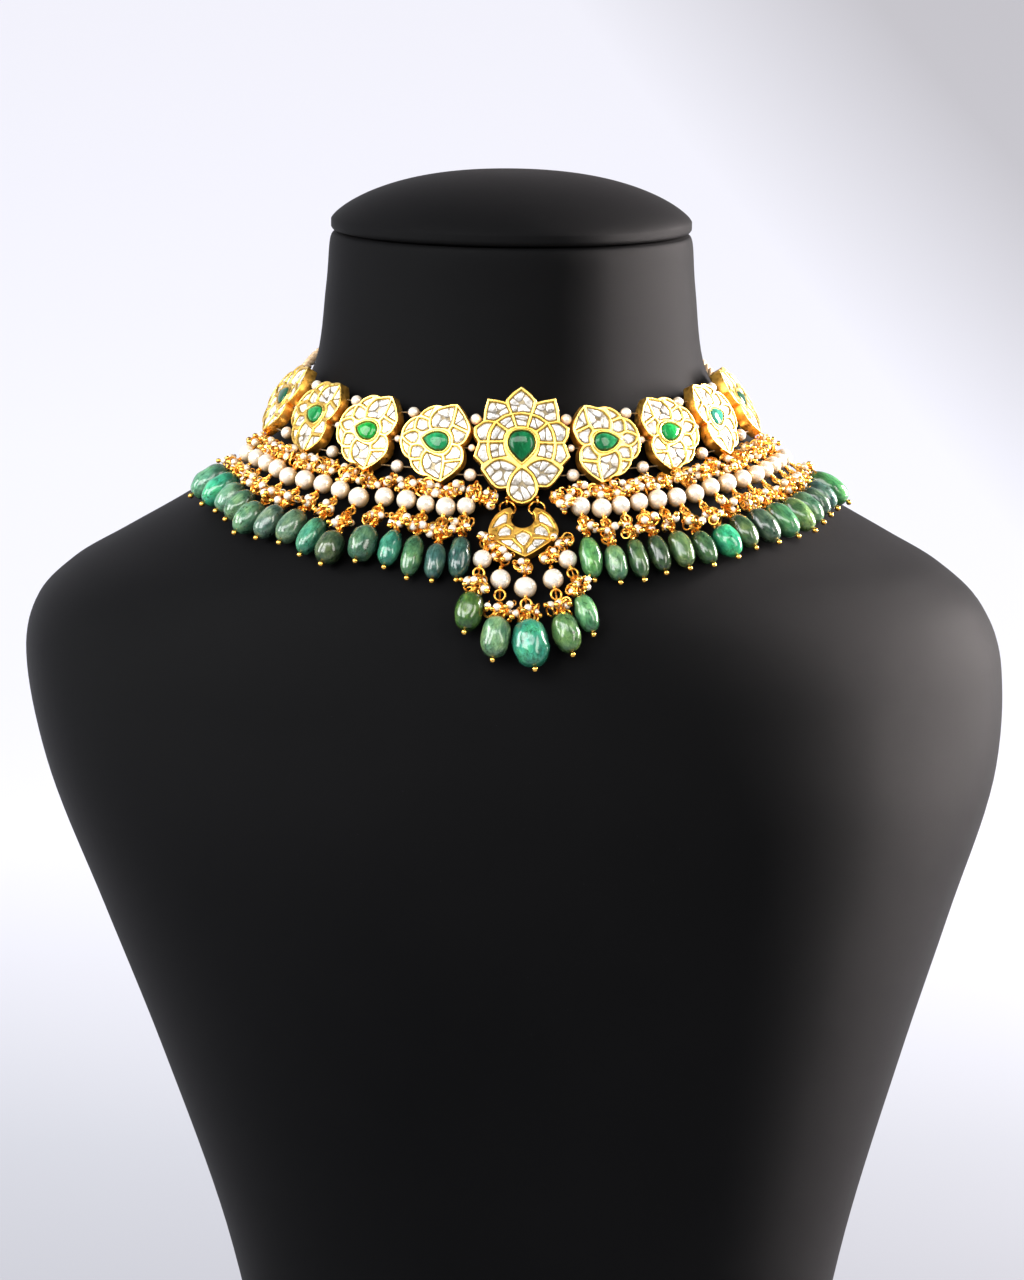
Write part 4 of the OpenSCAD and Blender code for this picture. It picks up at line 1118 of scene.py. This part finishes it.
def crescent():
    rng, warp = random.Random(71), hand_warp(171, 0.06)

    def place(points):
        return crescent_points(warp(points))

    cells = CRESCENT_CELLS + mirrored(CRESCENT_CELLS, -1, 1) + [whole(CRESCENT_SHIELD, -1, 1)]
    setting, gems = Heap(), Heap()
    plate(setting, crescent_outline(), cells, None, CRESCENT_T, place, False)
    stones(gems, cells, CRESCENT_SHARDS, place, False, rng)
    for s in (LEFT, RIGHT):
        hung = flower_points(RIGHT, 0, [s * CENTER_EYELET[0], CENTER_EYELET[1], -PLATE_T / 2])
        held = crescent_points([s * CRESCENT_HOLE[0], CRESCENT_HOLE[1], -CRESCENT_T / 2])
        link_between(setting, hung, held, RINGS)
    setting.piece("crescent_fine", [CRESCENT_GOLD] + SETTING_LOOKS, 35, "gold", "crescent_setting")
    gems.piece("polki_fine_crescent", [POLKI], 40, "polki", "polki_crescent")


crescent()


# Pearls, each a little out of round, darker and warm where they turn in and down: painted shade with a
# painted reflection of the gold round them
def facing(points, at):
    # How far each point looks outwards and up, from -1 to 1
    out = unit(unit(np.array([at[0], at[1], 0.0])) + np.array([0, 0, 0.55]))
    away = points - at
    return away @ out / np.maximum(np.linalg.norm(away, axis=1), NEAR)


def pearl_shape(heap, at, along, d, rng, slot=0, sides=26, rows=14):
    offset = np.array([rng.uniform(0, 50) for _ in range(3)])
    oval = np.array([rng.uniform(0.97, 1.01), rng.uniform(0.96, 1.01), 1.0])
    lean = [rng.uniform(0, 6.3) for _ in range(3)]
    drill = DRILL_D / 2 if d > 4 else SEED_DRILL

    def wobble(p):
        swell = math.sin(4.2 * p[0] / d + lean[0]) + math.sin(5 * p[2] / d + lean[1])
        return p * oval * (1 + 0.012 * swell)

    start = math.asin(drill / (d / 2))
    end = d / 2 * math.cos(start) - 0.25
    profile = [(d / 2 * math.sin(a), -d / 2 * math.cos(a))
               for a in (mix(start, math.pi - start, i / rows) for i in range(rows + 1))]
    profile = [(drill * 0.7, -end)] + profile + [(drill * 0.7, end)]
    points, faces, local = lathe(profile, at, along, sides, wobble)
    warm = rng.uniform(0, 1)
    main = np.array([1.0, mix(0.96, 1.01, warm), mix(0.93, 1.03, warm)])
    # Painted shade and gold reflection in the tint, by how far each point faces outwards and up
    tint = [mix(main, PEARL_PAINTED_SHADE, eased((0.82 - f) / 0.92)) for f in facing(points, at)]
    heap.add(points, faces, slot, tint=tint, local=local + offset)


def spacers():
    heap, rng = Heap(), random.Random(5)
    for y, d, inner, outer, center in SPACER_ROWS:
        for side in (LEFT, RIGHT):
            for k in range(4):
                p = flower_points(side, k, [outer if k else center, y, -BORE_DEPTH])
                q = flower_points(side, k + 1, [-inner, y, -BORE_DEPTH])
                pearl_shape(heap, (p + q) / 2, q - p, d * SPACER_SCALE, rng, sides=22, rows=12)
    heap.piece("spacer_pearls_fine", [PEARL], 50, "pearl", "spacer_pearls")


spacers()


# Tumbled beads: barrels with soft flats and dents
def bead_shape(heap, at, along, w, length, tint, rng):
    offset = np.array([rng.uniform(0, 90) for _ in range(3)])
    full = rng.uniform(0.72, 0.84)
    flats = [(rng.uniform(0, 6.3), rng.uniform(0.0, 0.035)) for _ in range(3)]
    waves = [(rng.uniform(0.5, 1.1), rng.uniform(0, 6.3)) for _ in range(3)]
    bow = rng.uniform(-0.02, 0.02) * length
    end = math.acos((DRILL_D / w) ** (1 / full))
    rows, sides = 22, 36

    def wobble(p):
        a = math.atan2(p[1], p[0])
        k = 1.0 - sum(depth * (0.5 + 0.5 * math.cos(2 * (a - phase))) for phase, depth in flats)
        k += 0.022 * math.sin(3 * a + waves[0][1] + waves[0][0] * p[2])
        k += 0.016 * math.sin(5 * a + waves[1][1] - waves[1][0] * p[2])
        k += 0.012 * math.sin(waves[2][0] * 1.6 * p[2] + waves[2][1])
        return np.array([p[0] * k + bow * (1 - (2 * p[2] / length) ** 2) * 0.5, p[1] * k, p[2]])

    bore, tip = DRILL_D / 2 * 0.7, length / 2 * math.sin(end) - 0.4
    profile = [(w / 2 * math.cos(a) ** full, length / 2 * math.sin(a))
               for a in (mix(-end, end, i / rows) for i in range(rows + 1))]
    points, faces, local = lathe([(bore, -tip)] + profile + [(bore, tip)], at, along, sides, wobble)
    # Painted light and shade in the tint: brighter where the bead faces outwards and up, darker where it
    # turns away
    painted_shades = [mix(*BEAD_PAINTED_SHADES, eased((f + 0.1) / 0.95)) for f in facing(points, at)]
    heap.add(points, faces, tint=[np.array(tint) * k for k in painted_shades], local=local + offset)


# Bundles of small rings, wire wraps and seed pearls with gold balls
class Crowd:
    # Balls that later small pieces keep clear of
    def __init__(self):
        self.items = []

    def fill(self, at, r):
        self.items.append((at, r))

    def free(self, at, r, ease):
        return all(np.linalg.norm(at - c) > r + q - ease for c, q in self.items)

    def guard_bead(self, at, along, w, length):
        for t in (-0.3, -0.15, 0, 0.15, 0.3):
            self.fill(at + unit(along) * length * t, w / 2 * math.cos(math.asin(abs(2 * t))) ** 0.8)


def seed_with_ball(heap, crowd, at, aim, rng):
    # A seed pearl on its own headpin, with a gold ball at its outer end
    d = rng.uniform(2.1, 2.8)
    aim = unit(aim)
    ball_d = rng.uniform(1.5, 1.85)
    tip = at + aim * (d / 2 + 0.62)
    if not (crowd.free(at, d / 2, 0.3) and crowd.free(tip, ball_d / 2, 0.35)):
        return False
    pearl_shape(heap, at, aim, d, rng, slot=SEEDS, sides=14, rows=8)
    heap.add(*ball_mesh(tip, ball_d, 12, 8), BALLS)
    heap.add(*torus_mesh(at - aim * (d / 2 + 0.7), np.cross(aim, [0.3, 0.5, 0.8]), 0.62, 0.2, 12, 6), WIRES)
    crowd.fill(at, d / 2)
    crowd.fill(tip, 0.7)
    return True


def bundle(heap, crowd, at, down, out, sizes, rng):
    # Rings around a point, now and then a wire coil, and seed pearls that hang from them
    spread, high, low, rings, seeds = sizes
    side = unit(np.cross(down, out))

    def near(wide, inner, outer):
        return (at + side * rng.uniform(-wide, wide) + down * rng.uniform(-high, low)
                + out * rng.uniform(inner, outer))

    for _ in range(rings):
        r = rng.uniform(1.2, 1.85)
        c = near(spread, -0.5, 1.5)
        normal = side * rng.uniform(-1, 1) + out * rng.uniform(-0.9, 1.2) + down * rng.uniform(-0.6, 0.6)
        heap.add(*torus_mesh(c, normal, r, rng.uniform(0.27, 0.34), 15, 6), WIRES)
    if rng.random() < COIL_SHARE:
        start = at + side * rng.uniform(-spread, spread) * 0.7 - down * rng.uniform(0.8, 1.6) + out * 0.5
        aim = down + side * rng.uniform(-0.5, 0.5) + out * rng.uniform(0, 0.3)
        heap.add(*tube_mesh(spiral(start, aim, 0.75, rng.uniform(2.4, 3.4), 5), 0.24, 6), WIRES)
    placed = 0
    for _ in range(seeds * 14):
        if placed >= seeds:
            break
        c = near(spread + 0.4, -0.2, 2.2)
        aim = out * rng.uniform(0.1, 1.1) + down * rng.uniform(-0.1, 1.2) + side * rng.uniform(-0.9, 0.9)
        placed += seed_with_ball(heap, crowd, c, aim, rng)


def drop_hardware(heap, upper, lower, bead, pearl_d, bead_l, out, rng):
    pearl_at = (upper + lower) / 2
    down, fall = unit(lower - upper), unit(bead - lower)
    top, tip = bead - fall * (bead_l / 2), bead + fall * (bead_l / 2 + 0.5 * BALL_D)

    def wire(route, r, sides=6):
        heap.add(*tube_mesh(route, r, sides), WIRES)

    # Wire through the pearl, coiled above and below it
    for way in (-down, down):
        wire(spiral(pearl_at + way * (pearl_d / 2 - 0.1), way, 0.5, 1.4, 2.5), 0.25)
    wire([upper, pearl_at, lower], PIN_D / 2 - 0.05, 8)
    # A loop below the pearl, seen face on, then the pin through the bead and the chain to it
    facing_out = out + 0.25 * np.array([rng.uniform(-1, 1), 0, rng.uniform(-1, 1)])
    loop_at = pearl_at + down * (pearl_d / 2 + LOOP_DROP)
    heap.add(*torus_mesh(loop_at, facing_out, LOOP_R, LOOP_WIRE, 22, 8), WIRES)
    wire(spiral(top - fall * 1.5, fall, 0.45, 1.6, 3), 0.2)
    wire([lower, (lower + top) / 2, top, bead, tip], PIN_D / 2, 8)
    heap.add(*ball_mesh(tip, BALL_D, 18, 12), BALLS)
    steps = max(int(np.linalg.norm(top - lower) / 1.1), 1)
    for i in range(steps + 1):
        c = mix(lower, top, i / steps) + out * rng.uniform(-0.4, 0.6)
        turn = np.cross(fall, out) if i % 2 else out
        turn = turn + 0.4 * np.array([rng.uniform(-1, 1) for _ in range(3)])
        heap.add(*torus_mesh(c, turn, rng.uniform(1.0, 1.35), 0.32, 15, 6), WIRES)


def fringe(side, drops, tints, word, seed):
    rng, crowd = random.Random(seed), Crowd()
    pearls, beads, links = Heap(), Heap(), Heap()
    places = []
    for drop in drops:
        u, lo, b = upper_point(side, drop[0]), lower_point(side, drop), bead_point(side, drop)
        places.append((u, lo, b, unit(upper_point(side, drop[0], 1.0) - u),
                       unit(bead_point(side, drop, 1.0) - b)))
        crowd.fill((u + lo) / 2, drop[1] / 2)
        crowd.guard_bead(b, b - lo, drop[2], drop[3])
    for k in range(5):
        for x, y in SIDE_GUARDS if k else CENTER_GUARDS:
            crowd.fill(flower_points(side, k, [x, y, -PLATE_T / 2]), FLOWER_GUARD_R)
    for drop, tint, (u, lo, b, out_u, out_l) in zip(drops, tints, places):
        pearl_shape(pearls, (u + lo) / 2, lo - u, drop[1], rng)
        bead_shape(beads, b, b - lo, drop[2], drop[3], tint, rng)
        drop_hardware(links, u, lo, b, drop[1], drop[3], out_l, rng)
    for drop, (u, lo, b, out_u, out_l) in zip(drops, places):
        down, fall = unit(lo - u), unit(b - lo)
        bundle(links, crowd, u - down * 0.1, down, out_u, UPPER_BUNDLE, rng)
        bundle(links, crowd, mix(lo, b - fall * (drop[3] / 2), 0.5), fall, out_l, LOWER_BUNDLE, rng)
    # The bundle below the centre flower's lower petal
    near, ahead = upper_point(side, PETAL_ANGLE), upper_point(side, PETAL_ANGLE, 1.0)
    down = unit(places[0][1] - places[0][0])
    bundle(links, crowd, near + down * PETAL_DROP, down, unit(ahead - near), PETAL_BUNDLE,
           random.Random(seed + 50))
    for k in (1, 2, 3, 4):
        hung = flower_points(side, k, [*SIDE_EYELET, -PLATE_T / 2])
        angle = abs(math.degrees(math.atan2(hung[0], -hung[1])))
        link_between(links, hung, upper_point(side, angle), WIRES)
    pearls.piece("fringe_pearls_fine_" + word, [PEARL], 50, "pearl", "fringe_pearls_" + word)
    beads.piece("fringe_beads_" + word, [BEAD], 60, "emerald_bead", "fringe_emeralds_" + word)
    links.piece("fringe_rings_" + word, LINK_LOOKS, 50, "gold", "fringe_links_" + word)


fringe(LEFT, LEFT_DROPS, LEFT_TINTS, "left", 301)
fringe(RIGHT, RIGHT_DROPS, RIGHT_TINTS, "right", 302)


def pendant():
    rng, crowd = random.Random(401), Crowd()
    pearls, links = Heap(), Heap()
    places = []
    for (x, y), angle, r, bead_angle, bead_r, pearl_d, w, length in PENDANT_DROPS:
        u = crescent_points([x, y, -PENDANT_DEPTH])
        lo = over_skin(angle, r, PENDANT_LIFT)
        b = over_skin(bead_angle, bead_r, w / 2 + BEAD_GAP)
        places.append((u, lo, b, unit(over_skin(bead_angle, bead_r, w / 2 + BEAD_GAP + 1.0) - b)))
        crowd.fill((u + lo) / 2, pearl_d / 2)
        crowd.guard_bead(b, b - lo, w, length)
    for x, y in CRESCENT_GUARDS:
        crowd.fill(crescent_points([x, y, -CRESCENT_T / 2]), CRESCENT_GUARD_R)
    for i, (drop, tint, (u, lo, b, out)) in enumerate(zip(PENDANT_DROPS, PENDANT_TINTS, places)):
        pearl_shape(pearls, (u + lo) / 2, lo - u, drop[5], rng)
        bead = Heap()
        bead_shape(bead, b, b - lo, drop[6], drop[7], tint, rng)
        bead.piece("pendant_bead_%d" % (i + 1), [BEAD], 60, "emerald_bead", "pendant_emerald_%d" % (i + 1))
        drop_hardware(links, u, lo, b, drop[5], drop[7], out, rng)
    for drop, (u, lo, b, out) in zip(PENDANT_DROPS, places):
        down, fall = unit(lo - u), unit(b - lo)
        bundle(links, crowd, u + down * 0.6, down, out, CRESCENT_BUNDLE, rng)
        bundle(links, crowd, mix(lo, b - fall * (drop[7] / 2), 0.5), fall, out, PENDANT_BUNDLE, rng)
    pearls.piece("pendant_pearls_fine", [PEARL], 50, "pearl", "pendant_pearls")
    links.piece("pendant_rings", LINK_LOOKS, 50, "gold", "pendant_links")


pendant()


# Neck cord of three twisted strands of gold thread, and its clasp
def cord_points():
    right, left = ([flower_points(side, 4, ferrule_point(u)) for u in CORD_STARTS]
                   + [polar(side * a, r, RING_Z + z) for a, r, z in CORD_ROUTE]
                   for side in (RIGHT, LEFT))
    return np.array(right + left[-2::-1])


def neck_cord():
    heap, points, steps = Heap(), cord_points(), 900
    route = np.array([row_at(points, (len(points) - 1) * i / steps) for i in range(steps + 1)])
    run = np.concatenate([[0], np.cumsum(np.linalg.norm(np.diff(route, axis=0), axis=1))])
    frames = carried_axes(route)
    ride_r = CORD_D / 2 - STRAND_R
    for strand in range(3):
        path = []
        for p, along, (e1, e2) in zip(route, run, frames):
            a = 2 * math.pi * (along / CORD_LAY + strand / 3)
            path.append(p + ride_r * (math.cos(a) * e1 + math.sin(a) * e2))
        heap.add(*tube_mesh(path, STRAND_R, 8))
    heap.piece("neck_cord_twisted", [CORD_THREAD], 60, "cord", "neck_cord")


def clasp():
    angle, back_r, z = CORD_ROUTE[-1]
    r, bore, half = CORD_D / 2 + 1.7, CORD_D / 2 + 0.7, CLASP_L / 2
    profile = [(bore, -half), (r - 0.5, -half)]
    ribs, w = 6, (CLASP_L - 0.6) / 6
    for i in range(ribs):
        x = -half + 0.3 + i * w
        profile += [(r - 0.35, x), (r - 0.05, x + w * 0.3), (r - 0.05, x + w * 0.7), (r - 0.35, x + w)]
    profile += [(r - 0.5, half), (bore, half), (bore, -half + 0.01)]
    points, faces, _ = lathe(profile, polar(angle, back_r, RING_Z + z), [1, 0, 0], 40)
    heap = Heap()
    heap.add(points, faces[:-2])
    heap.piece("clasp_ribbed", [BALL_GOLD], 30, "gold", "cord_clasp")


neck_cord()
clasp()

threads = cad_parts["row_threads"]
threads.data.materials.clear()
threads.data.materials.append(FINE_THREAD)


# Floor that rises into a backdrop
def backdrop():
    rise = [(1.1 + 0.9 * sind(a), 0.9 - 0.9 * cosd(a)) for a in range(0, 91, 6)]
    profile = [(-3.0, 0.0)] + rise + [(2.0, 4.0)]
    n = len(profile)
    points = [(x, y, z) for x in (-4.0, 4.0) for y, z in profile]
    faces = [[i, i + 1, n + i + 1, n + i] for i in range(n - 1)]
    mesh = bpy.data.meshes.new("studio_sweep")
    mesh.from_pydata(points, [], faces)
    mesh.materials.append(floor_material())
    mesh.shade_smooth()
    mesh.update()
    obj = bpy.data.objects.new("studio_sweep", mesh)
    bpy.context.scene.collection.objects.link(obj)


backdrop()


# Soft lights: two in front, one above them, and a low one at each side for the satin's edges
def area_light(name, at, aim, size, size_y, power, color=(1, 1, 1)):
    data = bpy.data.lights.new(name, "AREA")
    data.shape = "RECTANGLE"
    data.size, data.size_y = size, size_y
    data.energy = power
    data.color = color
    obj = bpy.data.objects.new(name, data)
    obj.location = at
    obj.rotation_euler = (Vector(aim) - Vector(at)).to_track_quat("-Z", "Y").to_euler()
    bpy.context.scene.collection.objects.link(obj)


area_light("key_left", (-1.0, -1.15, 1.05), (0, 0, 0.28), 0.75, 1.1, 25)
area_light("key_right", (1.05, -1.1, 1.0), (0, 0, 0.28), 0.45, 1.1, 13, (1.0, 0.95, 0.87))
area_light("front_top", (-0.1, -1.35, 1.45), (0, 0, 0.26), 1.0, 0.45, 11)
area_light("side_right", (1.2, 0.41, 0.54), (0.05, 0, 0.22), 0.4, 0.8, 94, (1.0, 0.91, 0.89))
area_light("side_left", (-1.3, -0.2, 0.8), (0, 0, 0.27), 0.6, 0.9, 19)

world = bpy.data.worlds.new("studio")
bpy.context.scene.world = world
world.use_nodes = True
world.node_tree.nodes["Background"].inputs["Color"].default_value = (0.92, 0.94, 1.0, 1.0)
world.node_tree.nodes["Background"].inputs["Strength"].default_value = 0.18
bpy.context.scene.view_settings.view_transform = "Standard"


# Camera at the photograph's angle, for an image of 1024 by 1280
def photo_camera():
    yaw, height, reach, tx, tz, roll, focal = -3.1, 0.5052, 1.6, 0.0016, 0.23804, 0.67, 5286.9
    flat = math.sqrt(reach ** 2 - (height - tz) ** 2)
    target = Vector((tx, 0, tz))
    at = target + Vector((sind(yaw) * flat, -cosd(yaw) * flat, height - tz))
    forward = (target - at).normalized()
    right = forward.cross(Vector((0, 0, 1))).normalized()
    up = right.cross(forward)
    right, up = right * cosd(roll) + up * sind(roll), up * cosd(roll) - right * sind(roll)
    data = bpy.data.cameras.new("photo_camera")
    data.sensor_fit = "VERTICAL"
    data.sensor_height = 24.0
    data.lens = data.sensor_height * focal / 1280
    data.clip_start, data.clip_end = 0.05, 50
    obj = bpy.data.objects.new("photo_camera", data)
    m = obj.matrix_world
    for i in range(3):
        m[i][0], m[i][1], m[i][2], m[i][3] = right[i], up[i], -forward[i], at[i]
    obj.matrix_world = m
    bpy.context.scene.collection.objects.link(obj)
    bpy.context.scene.camera = obj


photo_camera()
